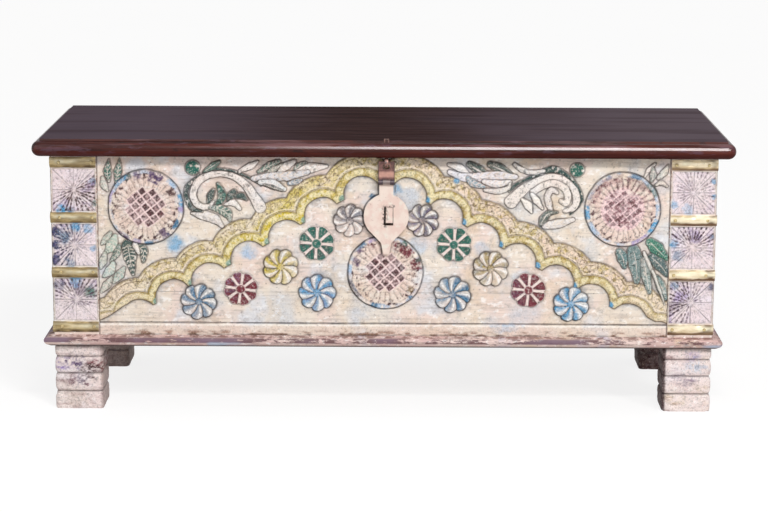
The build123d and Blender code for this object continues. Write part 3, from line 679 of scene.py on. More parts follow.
def roundel(relief, centre, turn, marks, seed, rosy=False):
    """A fluted disc with a lattice boss and a rim of rubbed colours; a rosy one is rubbed pink."""
    pitch = 9.6 if rosy else 12.6
    spot, r, angle = relief.polar(centre, ROUNDEL_REACH)
    x, z = spot.x, spot.z
    uneven = cloud(x, z, 11, seed + 4) - 0.5
    r = r + (cloud(x, z, 16, seed + 3) - 0.5) * 2.2
    angle = (angle + uneven * 5) % 360
    inside = soft(r - 64.5, 1.6)
    spot.level(inside, 0.4)
    spot.clear(inside)
    patchy, chips, grit = cloud(x, z, 9, seed), cloud(x, z, 5, seed + 1), cloud(x, z, 3.2, seed + 2)
    spot.brush(inside * 0.55 * unit(patchy * 2 - 0.3), tint(226, 196, 180))
    spot.brush(inside * unit(chips * 4 - 2.4) * 0.4, tint(180, 150, 146))
    spot.brush(soft(np.abs(r - 61) - 3.5, 2) * unit(patchy * 3 - 1.2) * 0.8, MIST)
    ridge = np.abs(2 * ((angle + turn) / 12 % 1) - 1)
    end = 57 - 4 * ridge**2
    fluted = soft(r - end, 1.5) * soft(35 - r, 1.5)
    spot.lift(fluted * (0.3 - 1.1 * ridge**2))
    spot.cut(fluted * unit(ridge * 3 - 2) * unit(grit * 3 - 0.9), 0.5, 0.6)
    spot.cut(line(r - end - 0.8, 2.6) * unit(chips * 4 - 1.6) * (r > 40), 0.8, 0.8)
    spot.brush(soft(r - 59, 2) * soft(38 - r, 3) * unit(grit * 5 - 3.0) * 0.6, tint(120, 84, 84))
    spot.brush(soft(np.abs(r - 54) - 5, 3) * unit(chips * 7 - 4.1), DARK_MAROON)
    spot.cut(soft(np.abs(r - 50) - 13, 3) * unit(grit * 7 - 5.0), 0.5, 0.7)
    spot.cut(line(r - 35, 2.2) * unit(patchy * 2.4 - 0.9), 0.9, 0.6)
    sway = np.radians(turn)
    u = ((x - centre[0]) * np.cos(sway) + (z - centre[1]) * np.sin(sway)) / pitch + uneven * 0.16
    v = ((z - centre[1]) * np.cos(sway) - (x - centre[0]) * np.sin(sway)) / pitch - uneven * 0.16
    column, row = np.round(u), np.round(v)
    laid = soft(np.hypot(column, row) * pitch - 30.5, 1)
    cell = np.minimum(0.5 - np.abs(u - column), 0.5 - np.abs(v - row)) * pitch
    tones = np.random.default_rng(seed).random((16, 16)) * 0.7 + 0.3
    tone = tones[column.astype(int) % 16, row.astype(int) % 16]
    pit = soft(pitch / 9 - cell, 1.1) * laid
    spot.lift(soft(r - 36, 3) * 0.3 - pit * 1.3)
    spot.clear(laid)
    spot.brush(laid * (0.4 + 0.6 * grit), tint(240, 204, 206))
    spot.cut(laid * unit(grit * 6 - 3.8), 0.5, 0.6)
    if rosy:
        spot.brush(soft(r - 38, 3) * np.clip(patchy * 1.5, 0, 0.8), tint(244, 208, 212))
        spot.brush(laid * unit(chips * 8 - 4.2) * 0.8, tint(128, 66, 78))
        upper = unit(0.45 + (z - centre[1]) / 60)
        strokes = fluted * unit(ridge * 3 - 1.2) * upper
        spot.brush(strokes * unit(chips * 6 - 2.5) * 0.85, tint(104, 52, 58))
        spot.brush(fluted * upper * unit(patchy * 2 - 0.4) * 0.4, tint(236, 196, 196))
        pit = pit * np.clip(patchy * 4 - 1.6, 0.1, 0.8)
    spot.brush(pit * unit(tone * 1.15 + (grit - 0.5) * 1.8), DARK_MAROON)
    spot.brush(pit * unit(chips * 3 - 1.5) * 0.6, MAROON)
    for middle, span, inner, outer, colour, amount in marks:
        gap = np.abs((angle - middle + 180) % 360 - 180) - span / 2
        patch = (
            soft(gap * np.radians(1) * r, 5)
            * soft(np.abs(r - (inner + outer) / 2) - (outer - inner) / 2, 3)
        )
        spot.brush(patch * amount * unit(patchy * 1.5 + grit * 2.4 - 1.0), colour)
    spot.cut(line(r - 65, 4.2) * (0.75 + 0.25 * patchy), 2.4, 1.0)


def rosette(relief, centre, radius, colour, turn, twist, cut, worn, second, seed):
    """A small flower of eight petals; cut petals lie between pale ribs, the others swirl."""
    spot, r, angle = relief.polar(centre, radius + 6)
    x, z = spot.x, spot.z
    r = r + (cloud(x, z, 9, seed + 3) - 0.5) * 2.4
    share = ((angle + turn + twist * r / radius) / 45) % 1
    rim = radius - 4.6 * np.abs(2 * share - 1) ** 2.6
    rib = np.minimum(share, 1 - share) * np.radians(45) * r - (0.035 * r if cut else 0)
    inside = soft(r - rim, 1.4)
    spot.level(inside, 0.3)
    spot.clear(inside)
    patchy, grit = cloud(x, z, 7, seed), cloud(x, z, 3.2, seed + 1)
    fade = unit(1.15 - worn[1] * (0.5 + 0.5 * np.cos(np.radians(angle - worn[0]))))
    core = soft(r - 7.5, 2)
    if cut:
        petal = soft(1.7 - rib, 1.0) * soft(r - rim + 0.5, 1.4) * soft(8.5 - r, 2)
        spot.lift(-(petal * (0.8 + 1.0 * unit(r / radius))))
        spot.lift(core * 0.3)
        spot.brush(petal * unit(0.9 + patchy * 0.6 - unit(grit * 6 - 4.2)), colour)
        spot.brush(petal * unit(patchy * 4 - 2.2) * 0.6, tuple(c * 0.3 for c in colour))
        spot.brush(petal * (1 - fade) * unit(grit * 4 - 1.4), second)
        spot.cut(petal * unit(grit * 6 - 3.9), 0.6, 0.7)
        spot.brush((inside - petal) * 0.5, tint(236, 210, 206))
        spot.brush(core * unit(1.2 - unit(grit * 6 - 3.8)), colour)
        spot.cut(line(rib - 1.8, 1.4) * petal, 0.3, 0.5)
        spot.cut(line(r - rim - 0.4, 2.2) * (0.4 + 0.6 * patchy), 1.0, 0.8)
    else:
        spot.lift(inside * 1.0 * (1 - np.abs(2 * share - 1) ** 2) * unit(r / 12))
        swirl = unit(1.6 - share * 2.2)
        spot.brush(inside * fade * (0.25 + 0.85 * swirl) * unit(0.45 + patchy), colour)
        spot.brush(
            inside * swirl**2 * unit(grit * 4 - 1.8) * 0.6 * fade, tuple(c * 0.35 for c in colour)
        )
        spot.brush(inside * soft(share - 0.2, 0.4) * 0.6 * unit(grit * 3 - 0.8), second)
        spot.brush(inside * unit(patchy * 4 - 2.1) * 0.5, tint(150, 160, 176))
        crest = soft(np.abs(share - 0.66) - 0.1, 0.14) * soft(9 - r, 3)
        spot.brush(inside * crest * unit(grit * 4 - 0.9) * 0.85, WHITE)
        trough = soft(share - 0.12, 0.12) * soft(6 - r, 3) * unit(0.2 + grit * 1.2)
        spot.brush(inside * trough * (0.35 + 0.5 * fade), tuple(c * 0.3 + 0.02 for c in colour))
        spot.brush(core * 0.6 * fade, colour)
        spot.cut(line(rib, 2.6) * inside * soft(5 - r, 2) * (0.5 + 0.7 * grit), 1.5, 0.8)
        spot.brush(soft(np.abs(r - rim) - 1.5, 2) * fade * 0.6, tuple(c * 0.3 for c in colour))
        spot.cut(line(r - rim - 0.3, 2.6) * unit(0.3 + 1.1 * patchy), 1.4, 0.8)
        spot.cut(line(r - 6.5, 2.0) * unit(patchy * 2 - 0.3), 0.8, 0.7)


ARCH_LOBES = (
    (-474, 128), (-421, 163), (-362, 198.5), (-299, 229), (-231, 268), (-166, 305), (-104, 344),
    (-36, 381), (42, 379), (105, 342.5), (168, 302), (232, 265), (297.5, 228.5), (359.5, 195),
    (424, 160), (478, 128),
)
LOBE_RADIUS = 32.0
MOULDING_WIDTH = 15.0
ARCH_WIDTH = 38.5
ARCH_SPRING = (
    (-492, 157), (-474, 166), (-445, 186), (-421, 172), (-362, 206), (-299, 237), (-231, 276),
    (-166, 313), (-104, 352), (-36, 389), (42, 387), (105, 350.5), (168, 310), (232, 273),
    (297.5, 236.5), (359.5, 203), (424, 170), (446, 184), (458, 168), (476, 158), (492, 155),
)


def arch(relief):
    """The lobed arch: a smooth gilt moulding inside a strip of small carved leaves."""
    x, z = relief.x, relief.z
    centres, spring = np.array(ARCH_LOBES), np.array(ARCH_SPRING)
    away = np.hypot(x[:, None] - centres[:, 0], z[:, None] - centres[:, 1])
    lobe = away.argmin(1)
    sway = (cloud(x, z, 22, 7) - 0.5) * 3
    ring = away.min(1) - LOBE_RADIUS + sway
    below = 0.86 * (z - np.interp(x, spring[:, 0], spring[:, 1]))
    inner = np.minimum(np.minimum(ring, below), z - 155)
    within = (z > 155) * soft(ring - ARCH_WIDTH, 1.4) * soft(-inner, 1.2)
    angle = np.arctan2(z - centres[lobe, 1], x - centres[lobe, 0])
    relief.level(within, 0.1)
    relief.clear(within)
    patchy, fine, grit = cloud(x, z, 22, 5), cloud(x, z, 6, 6), cloud(x, z, 3.4, 8)
    middle = np.abs(inner - MOULDING_WIDTH / 2) / (MOULDING_WIDTH / 2)
    moulding = soft((middle - 1) * MOULDING_WIDTH / 2, 1.2) * within
    crown = unit(1 - middle**2)
    relief.lift(moulding * (crown * 2.2 - 0.6))
    strip = within * soft(MOULDING_WIDTH + 1 - ring, 1.5)
    run = angle * (LOBE_RADIUS + 27) / 13.0
    step = run - np.round(run)
    curl = np.hypot(step * 13, ring - 27 - 3 * np.sin(run * 3.1))
    bright = np.exp(-(((x + 175) / 100) ** 2))
    brown, faded = soft(160 - x, 120), soft(40 - x, 60)
    shaded_low_side = unit((MOULDING_WIDTH / 2 - inner) / MOULDING_WIDTH + 0.5)
    relief.brush(strip * (0.45 + 0.4 * patchy), tint(236, 216, 176))
    relief.brush(strip * faded * unit(patchy * 2.4 - 0.5) * 0.7, tint(234, 208, 192))
    relief.brush(strip * unit(fine * 5 - 3.0) * 0.7, tint(178, 150, 96))
    relief.brush(strip * bright * unit(patchy * 3 - 1.0) * 0.8, tint(214, 194, 64))
    relief.brush(strip * unit(grit * 5 - 2.9) * 0.6, tint(150, 122, 84))
    relief.brush(strip * unit(0.35 - bright * 0.3) * unit(fine * 4 - 1.8), YELLOW)
    # The moulding: olive towards its edges as painted shade of its rounded form, and brown painted
    # shade along its lower side on the right.
    relief.brush(moulding * 0.85, tint(216, 192, 116))
    relief.brush(moulding * unit(1.45 - crown * 1.3) * unit(patchy * 2.4), OLIVE_GOLD)
    relief.brush(moulding * unit(grit * 5 - 2.9) * 0.6, tint(110, 84, 40))
    relief.brush(moulding * bright * unit(patchy * 1.6 + 0.1), YELLOW)
    relief.brush(moulding * brown * shaded_low_side**2 * unit(fine * 3 - 0.6), tint(140, 104, 48))
    relief.brush(moulding * soft(0.42 - fine, 0.2) * 0.6, tint(246, 236, 196))
    lost_gold = within * soft(425 - np.abs(x), 70) * unit(patchy * 2 - 0.1)
    relief.brush(lost_gold * 0.75, tint(234, 214, 194))
    relief.cut(line(curl - 5, 2.6) * strip * unit(fine * 3 - 0.6), 1.4, 0.55)
    relief.cut(line(np.abs(step) * 13 - 6.5, 2.2) * strip * unit(fine * 3 - 0.9), 1.2, 0.5)
    relief.cut(strip * unit(grit * 7 - 4.6), 0.9, 0.6)
    relief.cut(moulding * unit(grit * 7 - 5.2), 0.5, 0.4)
    edge_line = line(inner - 0.3, 2.6) * (ring < ARCH_WIDTH) * (z > 156)
    relief.brush(edge_line * 0.9, tint(110, 90, 52))
    relief.cut(edge_line * unit(0.2 + 0.9 * fine), 1.3, 0.5 - 0.2 * faded)
    relief.brush(line(ring - MOULDING_WIDTH + 1, 5) * within * 0.8, OLIVE_GOLD)
    relief.cut(line(ring - MOULDING_WIDTH - 1, 2.4) * within * unit(0.2 + fine), 1.3, 0.6)
    relief.level(line(ring - MOULDING_WIDTH - 3.6, 2.4) * within, 0.6)
    relief.clear(line(ring - MOULDING_WIDTH - 3.6, 2.4) * within * 0.8)
    outline = line(ring - ARCH_WIDTH, 2.8) * (z > 157) * soft(-below, 2) * unit(0.2 + fine)
    relief.cut(outline, 1.5, 0.6 - 0.2 * faded)
    relief.brush(
        line(ring - ARCH_WIDTH + 1, 5) * (z > 157) * soft(-below, 2) * (0.75 + 0.2 * faded),
        tint(136, 114, 72),
    )
    second_line = line(ring - ARCH_WIDTH + 6, 2.2) * strip * unit(patchy * 3 - 0.8)
    relief.cut(second_line, 0.8, 0.2)
    relief.brush(second_line * 0.8, tint(158, 130, 84))
    for first, second in zip(centres, centres[1:]):
        middle = (first + second) / 2
        if abs(middle[0] - 3) < 10 or abs(middle[0]) > 440:
            continue
        spot, r, _ = relief.polar(middle + (0, 12), 10)
        spot.brush(
            soft(r - 6.5, 4) * soft(-inner[spot.where], 2) * 0.95, SKY if middle[0] > 0 else MOSS
        )


def smudge(relief, centre, size, colour, amount, seed, stretch=1.0):
    """A rubbed patch of colour on the ground."""
    spot = relief.near(*centre, size * 2 * max(1, stretch))
    x, z = spot.x, spot.z
    r = np.hypot((x - centre[0]) / stretch, z - centre[1])
    patchy = cloud(x, z, size * 0.6, seed)
    spot.brush(
        amount * soft(r - size * (0.45 + 0.7 * patchy), size * 0.7) * unit(0.4 + patchy), colour
    )


def carve_panel(x, z):
    """The whole carved picture between the pilasters."""
    relief = Relief(x, z, PANEL_GROUND)
    relief.lift((cloud(x, z, 26, 19) - 0.5) * 1.2)
    mottle, specks = cloud(x, z, 34, 24), cloud(x * 0.8, z, 7, 25)
    relief.brush(unit(mottle * 3.2 - 1.7) * 0.5 * (0.4 + specks), tint(200, 204, 212))
    relief.brush(unit(1.5 - mottle * 3.2) * 0.5 * (0.4 + specks), tint(228, 204, 176))
    relief.brush(unit(specks * 6 - 3.9) * 0.4, tint(168, 158, 152))
    for centre, size, colour, amount, seed in (
        ((-360, 297), 17, SKY, 0.75, 31), ((-231, 281), 15, MIST, 0.9, 32),
        ((20, 392), 14, SKY, 0.7, 33), ((42, 376), 24, MIST, 0.5, 34),
        ((60, 290), 20, MIST, 0.5, 35), ((170, 288), 16, MIST, 0.5, 36),
        ((-110, 240), 22, MIST, 0.4, 37), ((236, 238), 16, MIST, 0.35, 38),
        ((345, 258), 12, SKY, 0.45, 39), ((-180, 180), 40, MIST, 0.35, 40),
        ((-40, 180), 30, MIST, 0.3, 41), ((250, 175), 34, MIST, 0.25, 42),
    ):
        smudge(relief, centre, size, colour, amount, seed)
    arch(relief)

    # Leaves in the upper and lower corners
    for points, widths, colour, amount in (
        (((-471, 402), (-473, 420), (-470, 440)), (2, 7, 1), TEAL, 0.95),
        (((-459, 398), (-455, 420), (-452, 441)), (2, 7, 1), TEAL, 0.9),
        (((-482, 408), (-480, 396), (-474, 386)), (3, 6, 2), MOSS, 0.5),
        (((-470, 312), (-478, 300), (-486, 292)), (3, 6, 2), MOSS, 0.6),
        (((-462, 306), (-468, 290), (-478, 278)), (4, 10, 3), tint(150, 186, 170), 0.7),
        (((-455, 290), (-460, 276), (-470, 262)), (3, 6, 2), TEAL, 0.8),
        (((-480, 276), (-484, 262), (-488, 250)), (3, 7, 2), MOSS, 0.5),
        (((-466, 258), (-472, 246), (-482, 236)), (4, 8, 3), tint(170, 200, 190), 0.7),
        (((-448, 250), (-456, 238), (-466, 226)), (3, 8, 3), tint(140, 176, 166), 0.7),
        (((-470, 232), (-478, 220), (-488, 208)), (3, 7, 2), MOSS, 0.5),
        (((-440, 290), (-437, 270), (-432, 240)), (11, 11, 3), DEEP_GREEN, 0.95),
        (((-424, 290), (-414, 280), (-414, 262)), (9, 8, 3), DEEP_GREEN, 0.95),
        (((-428, 292), (-424, 282), (-422, 276)), (5, 4, 2), WHITE, 0.6),
    ):
        leaf(relief, points, widths, colour, amount, veins=7, dark=0.55, chips=0.7)
    for points, widths, colour, amount in (
        (((407, 283), (413, 272), (416, 257)), (7, 10, 4), GREY_TEAL, 0.9),
        (((431, 285), (436, 262), (438, 232)), (11, 14, 5), GREY_TEAL, 0.85),
        (((449, 270), (454, 242), (460, 213)), (5, 9, 4), GREY_TEAL, 0.75),
        (((460, 300), (471, 289), (487, 273)), (8, 12, 5), tint(16, 118, 96), 0.95),
        (((462, 274), (476, 262), (490, 244)), (7, 11, 5), tint(58, 92, 94), 0.95),
        (((473, 238), (480, 222), (488, 202)), (5, 8.5, 4), GREY_TEAL, 0.85),
        (
            ((449, 282), (460, 258), (470, 236), (480, 210), (487, 191)), (3, 3, 2.5, 2, 1),
            tint(206, 212, 208), 0.6,
        ),
        (((447, 414), (454, 427), (464, 437)), (1.5, 3.5, 2), WHITE, 0.3),
        (((459, 408), (461, 418), (460, 430)), (3, 6, 2), tint(128, 142, 136), 0.8),
        (((466, 400), (475, 404), (485, 398)), (2, 4, 2), tint(196, 190, 176), 0.5),
        (((470, 412), (480, 422), (486, 434)), (3, 6, 2), tint(176, 184, 172), 0.5),
    ):
        leaf(relief, points, widths, colour, amount, chips=0.7)

    # Left scroll: dark outer border, pale band, inner leaves, feathered leaf and pale leaf below
    leaf(
        relief, ((-330, 347), (-311, 344), (-291, 338), (-277, 325)), (2, 8, 8, 3),
        tint(220, 214, 214), 0.7, veins=14,
    )
    leaf(
        relief,
        ((-315, 416), (-323, 406), (-336, 394), (-339, 381), (-335, 367), (-328, 355), (-312, 351)),
        (1.5, 3, 4, 4, 4, 4, 2), tint(18, 56, 54), 1.0, rib=False, chips=0.8,
    )
    leaf(
        relief,
        ((-309, 419), (-295, 424), (-277, 424), (-258, 421), (-239, 414), (-223, 405), (-210, 396)),
        (2, 3, 2.2, 1.8, 1.8, 1.6, 1), DEEP_GREEN, 1.0, rib=False, chips=0.7,
    )
    leaf(
        relief,
        (
            (-212, 359), (-225, 380), (-235, 395), (-250, 408), (-268, 415), (-285, 416),
            (-303, 412), (-317, 403), (-325, 390), (-327, 376), (-321, 364), (-310, 358),
            (-299, 360), (-292, 368),
        ),
        (10, 8, 7, 6, 5, 5, 5.5, 6, 6, 6, 5.5, 5, 4, 2), tint(238, 230, 224), 0.7, rib=False,
        chips=0.9,
    )
    for path in (
        ((-221, 366), (-230, 383), (-240, 397)),
        ((-258, 412), (-276, 417), (-295, 415)),
        ((-316, 392), (-320, 380), (-316, 368)),
    ):
        spot, edge, _, _ = relief.stroke(path, (0.5, 0.5))
        spot.cut(line(edge, 2.2) * unit(cloud(spot.x, spot.z, 4, 26) * 5 - 2), 0.8, 0.8)
    leaf(relief, ((-306, 421), (-292, 430), (-281, 438)), (3, 6, 2), TEAL, 0.85, chips=0.9)
    leaf(relief, ((-301, 366), (-297, 378), (-292, 388)), (2, 6, 3), DEEP_GREEN, 0.95, rib=False)
    leaf(
        relief, ((-285, 361), (-277, 379), (-284, 398)), (4, 7.5, 3), TEAL, 0.95, rib=False,
        chips=0.9,
    )
    leaf(relief, ((-268, 369), (-262, 378), (-256, 386)), (2, 7, 4), DEEP_GREEN, 0.95, rib=False)
    leaf(relief, ((-252, 378), (-243, 378), (-235, 371)), (4, 5.5, 2), DEEP_GREEN, 0.95, rib=False)
    leaf(relief, ((-272, 363), (-258, 366), (-247, 356)), (2, 5.5, 3), WHITE, 0.6)
    leaf(
        relief, ((-299, 357), (-282, 355), (-268, 347), (-264, 336)), (2, 7.5, 8, 3), TEAL, 0.85,
        veins=6, chips=0.9,
    )

    # Left acanthus along the top
    for points, widths, colour, amount, veins in (
        (((-246, 421), (-228, 430), (-216, 438)), (3, 6, 2), WHITE, 0.5, 0),
        (((-214, 420), (-194, 431), (-179, 439)), (3, 7, 3), TEAL, 0.85, 8),
        (((-205, 414), (-188, 424), (-170, 434)), (3, 5, 3), TEAL, 0.6, 8),
        (((-178, 420), (-165, 431), (-152, 439)), (4, 7, 3), WHITE, 0.6, 7),
        (((-155, 418), (-146, 429), (-134, 436)), (3, 6, 3), TEAL, 0.8, 8),
        (((-150, 418), (-125, 427), (-98, 430)), (5, 9, 3), WHITE, 0.6, 12),
        (
            ((-223, 408), (-195, 412), (-164, 413), (-130, 420)), (4, 7, 8, 4), tint(206, 210, 220),
            0.7, 12,
        ),
        (((-212, 402), (-190, 399), (-171, 390)), (4, 8, 4), tint(214, 220, 222), 0.8, 0),
        (((-206, 398), (-190, 393), (-174, 387)), (1, 3, 1), DEEP_GREEN, 0.8, 0),
        (((-162, 400), (-150, 403), (-141, 406)), (3, 5.5, 2), BLUE, 0.7, 7),
    ):
        leaf(relief, points, widths, colour, amount, veins=veins, chips=0.8)

    # Right scroll
    leaf(
        relief, ((278, 329), (300, 332), (326, 339)), (6, 8, 3), tint(220, 214, 214), 0.7, veins=14
    )
    leaf(
        relief, ((215, 388), (227, 400), (246, 410), (266, 418)), (2, 2.4, 2.2, 2), DEEP_GREEN, 1.0,
        rib=False, chips=0.7,
    )
    leaf(
        relief,
        (
            (276, 424), (291, 427), (306, 421), (321, 409), (332, 394), (339, 378), (333, 362),
            (321, 349),
        ),
        (5, 5.5, 4.5, 4, 4, 3.5, 2.5, 1.5), DEEP_GREEN, 1.0, rib=False, chips=0.7,
    )
    leaf(
        relief,
        (
            (219, 370), (236, 388), (250, 398), (268, 408), (285, 413), (303, 411), (318, 401),
            (328, 388), (331, 372), (325, 359), (311, 354),
        ),
        (11, 9, 7, 6, 6, 6, 6, 6, 6, 5, 3), tint(238, 228, 222), 0.7, rib=False, chips=0.9,
    )
    leaf(
        relief,
        ((256, 387), (275, 399), (294, 402), (309, 395), (316, 382), (313, 368), (305, 371)),
        (5, 6, 6, 6, 6, 5, 4), tint(236, 226, 220), 0.5, rib=False, chips=0.8,
    )
    leaf(
        relief, ((297, 386), (288, 391), (281, 380), (284, 366), (288, 354)), (3, 5, 5, 6, 3),
        tint(214, 206, 206), 0.6, chips=0.9,
    )
    leaf(relief, ((298, 352), (283, 350), (275, 340), (270, 331)), (2, 5, 7, 3), DEEP_GREEN, 0.85)
    leaf(relief, ((254, 383), (262, 373), (273, 358)), (3, 6, 2), WHITE, 0.3, outline=3.2)
    leaf(relief, ((238, 374), (248, 364), (254, 352)), (3, 7, 2), WHITE, 0.3, outline=3.2)

    # Right acanthus along the top
    for points, widths, colour, amount, veins in (
        (((112, 434), (129, 429), (145, 417)), (3, 7, 3), WHITE, 0.6, 9),
        (((147, 435), (162, 426), (179, 417)), (5, 8, 3), DEEP_GREEN, 0.9, 0),
        (((182, 435), (197, 428), (218, 418)), (5, 9, 3), DEEP_GREEN, 0.9, 0),
        (((152, 430), (166, 422), (178, 416)), (0.5, 1.5, 0.5), WHITE, 1.0, 0),
        (((190, 431), (204, 424), (216, 417)), (0.5, 1.5, 0.5), WHITE, 1.0, 0),
        (
            ((224, 435), (236, 426), (254, 421), (274, 424)), (3, 4, 4, 3), tint(214, 216, 218),
            0.7, 9,
        ),
        (
            ((113, 421), (139, 412), (168, 413), (197, 415), (226, 413)), (4, 7, 8, 8, 4),
            tint(222, 220, 230), 0.7, 13,
        ),
        (((144, 411), (153, 402), (172, 396)), (3, 7, 3), tint(110, 150, 168), 0.8, 7),
        (((172, 405), (192, 401), (216, 404)), (4, 7, 4), tint(226, 226, 230), 0.7, 9),
        (
            ((174, 390), (195, 388), (212, 393), (217, 402)), (3, 5, 4, 2), tint(200, 200, 200),
            0.7, 9,
        ),
    ):
        leaf(relief, points, widths, colour, amount, veins=veins, chips=0.8)
    smudge(relief, (125, 405), 6, SKY, 0.9, 27)
    for centre, radius in (((-327, 427), 13.5), ((331, 426), 13)):
        spot, r, _ = relief.polar(centre, 20)
        spot.level(soft(r - radius, 1.5), 0.6 - 0.8 * unit(r / radius) ** 2)
        spot.clear(soft(r - radius, 1.5))
        mottled = cloud(spot.x, spot.z, 5, 28)
        spot.brush(soft(r - radius + 1, 3) * unit(mottled * 5 - 1.0), TEAL)
        spot.brush(soft(r - radius + 1, 3) * unit(mottled * 5 - 3), DEEP_GREEN)
        spot.cut(line(r - radius, 2.4), 1.6, 0.85)

    roundel(
        relief, (-408.5, 357.7), 38,
        (
            (120, 12, 55, 65, DEEP_GREEN, 0.9), (133, 26, 58, 66, SKY, 0.7),
            (104, 12, 50, 64, PURPLE, 0.8), (72, 24, 44, 64, PURPLE, 1.0),
            (44, 18, 57, 66, MIST, 1.0), (31, 14, 44, 56, DARK_MAROON, 0.9),
            (10, 22, 58, 66, SKY, 0.9), (-2, 8, 56, 66, LILAC, 0.9), (-28, 18, 57, 65, BLUE, 1.0),
            (-55, 16, 46, 64, PURPLE, 0.9), (-47, 8, 58, 66, NAVY, 0.9),
            (-85, 14, 60, 67, BLUE, 0.9), (-104, 14, 58, 65, LILAC, 0.7),
            (-128, 20, 60, 66, PURPLE, 0.9), (165, 26, 60, 65, LILAC, 0.7),
        ),
        51,
    )
    roundel(
        relief, (3.5, 245.5), 43,
        (
            (130, 16, 58, 66, BLUE, 0.8), (141, 12, 50, 62, PURPLE, 0.8),
            (160, 14, 46, 60, PURPLE, 0.7), (174, 16, 58, 66, MIST, 1.0),
            (207, 30, 58, 66, GREY, 0.9), (253, 14, 56, 66, BLUE, 0.95),
            (264, 12, 56, 66, MIST, 1.0), (315, 8, 58, 66, BLUE, 0.9),
            (15, 20, 46, 64, MAROON, 0.95), (21, 6, 56, 66, TEAL, 0.6),
            (46, 26, 44, 62, MAROON, 1.0), (57, 10, 57, 66, TEAL, 0.9),
            (70, 9, 42, 58, MAROON, 1.0), (118, 10, 46, 58, MAROON, 0.8),
            (113, 10, 57, 66, LILAC, 0.9), (-34, 12, 48, 58, OLIVE_GOLD, 0.4),
        ),
        61,
    )
    roundel(
        relief, (410.5, 357.5), 40,
        (
            (150, 50, 48, 62, MAROON, 0.4), (108, 36, 48, 62, MAROON, 0.45),
            (60, 40, 46, 60, DARK_MAROON, 0.5), (185, 24, 57, 66, SKY, 0.9),
            (215, 24, 56, 66, MIST, 0.9), (-60, 30, 58, 66, LILAC, 0.8),
            (-28, 24, 57, 66, SKY, 1.0), (0, 20, 57, 66, MIST, 0.8), (35, 24, 57, 66, TEAL, 0.6),
            (70, 16, 57, 66, BLUE, 0.7),
        ),
        71, rosy=True,
    )
    for centre, radius, colour, turn, twist, is_cut, worn, second, seed in (
        ((-319, 192), 31, BLUE, 10, 24, False, (250, 0.5), MIST, 81),
        ((-246, 215), 30, MAROON, 8, 0, True, (150, 0.4), LILAC, 82),
        ((-177, 254), 31, YELLOW, 22, 26, False, (340, 0.7), GREY, 83),
        ((-115, 295.5), 31, TEAL, 4, 0, True, (240, 0.5), GREY, 84),
        ((-58, 336), 28, GREY, 0, 30, False, (270, 0.9), WHITE, 85),
        ((-114, 208.5), 32, SKY, 0, 24, False, (260, 0.4), LILAC, 86),
        ((67, 336.5), 28, GREY, 15, 30, False, (200, 0.5), LILAC, 87),
        ((122, 294.6), 31, TEAL, 3, 0, True, (215, 0.3), MAROON, 88),
        ((185, 252.6), 31, OLIVE_GOLD, 20, 26, False, (300, 0.8), WHITE, 89),
        ((251, 215), 31, MAROON, 5, 0, True, (180, 0.5), PURPLE, 90),
        ((120, 206.6), 32, BLUE, 12, 22, False, (200, 0.6), SKY, 91),
        ((325, 191), 31, SKY, 18, 24, False, (40, 0.4), BLUE, 92),
    ):
        rosette(relief, centre, radius, colour, turn, twist, is_cut, worn, second, seed)

    # Painted shadow of the hasp plate down the left of its neck and round plate to its tip, and a
    # thin one beside the right edge of its neck, carried in the dirt layer
    turns = np.radians(np.arange(110, 230, 10))
    ring = np.stack([5 + 40.6 * np.cos(turns), 344 + 40.6 * np.sin(turns)], 1).tolist()
    plate_shadow_path = [(-9, 402), (-9, 386), *ring, (-6, 297), (-2.5, 278)]
    for path, reach in ((plate_shadow_path, 1.3), (((20, 402), (20, 386)), 0.9)):
        spot, edge, _, _ = relief.stroke(path, (reach, reach))
        spot.cut(soft(edge, 1.6), 0.2, 0.95)
    smudge(relief, (-17, 377), 8, BLUE, 0.9, 44)
    # Painted shade on the board seen through the hasp plate's slot.
    shade_behind_slot = np.maximum(np.abs(x - SLOT_X) - 9, np.abs(z - SLOT_Z) - 17.5)
    relief.brush(soft(shade_behind_slot, 2), tint(44, 28, 28))

    # Border groove above the lowest strip, and the seam's opened edge
    sway = cloud(x, z * 0, 120, 3) * 1.6
    relief.level(soft(z - 152.0, 2), -0.4)
    relief.clear(soft(z - 152.0, 2))
    relief.cut(line(z - 153.6 - sway, 3.2), 2.0, np.clip(0.35 + mottle * 0.8 + x / 2400, 0, 0.9))
    smudge(relief, (214, 147), 9, MIST, 0.8, 45, 4.0)
    pits = cloud(x, z, 3.4, 12)
    relief.cut(unit(pits * 9 - 7.0), 0.6, 0.7)
    scrape = cloud(x * 0.35, z, 5, 16)
    low_edge = soft(z - 141, 10)
    relief.brush(soft(z - 150, 3) * (0.25 + 0.4 * specks), tint(222, 198, 182))
    relief.brush(low_edge * unit(scrape * 5 - 2.5), tint(150, 112, 92))
    relief.soil(soft(z - 135.5, 3) * unit(scrape * 3 - 0.8) * 0.7)
    relief.lift((cloud(x, z, 8, 13) - 0.5) * 1.0)
    edge = np.minimum(BODY_TOP - z, POST_EDGE - np.abs(x))
    relief.lift(-(np.clip(1.5 - edge, 0, 1.5) * 0.7))
    relief.soil((0.25 + 0.7 * mottle) * soft(POST_EDGE - np.abs(x) - 1.2, 1.6))
    opened = (
        np.where(np.hypot(x - 3.5, z - 245.5) < 66, 0.2, 0.55)
        * unit(cloud(x * 0.4, z, 9, 17) * 3 - 0.9)
    )
    relief.soil(opened * line(z - SEAM, 2.4))
    return relief


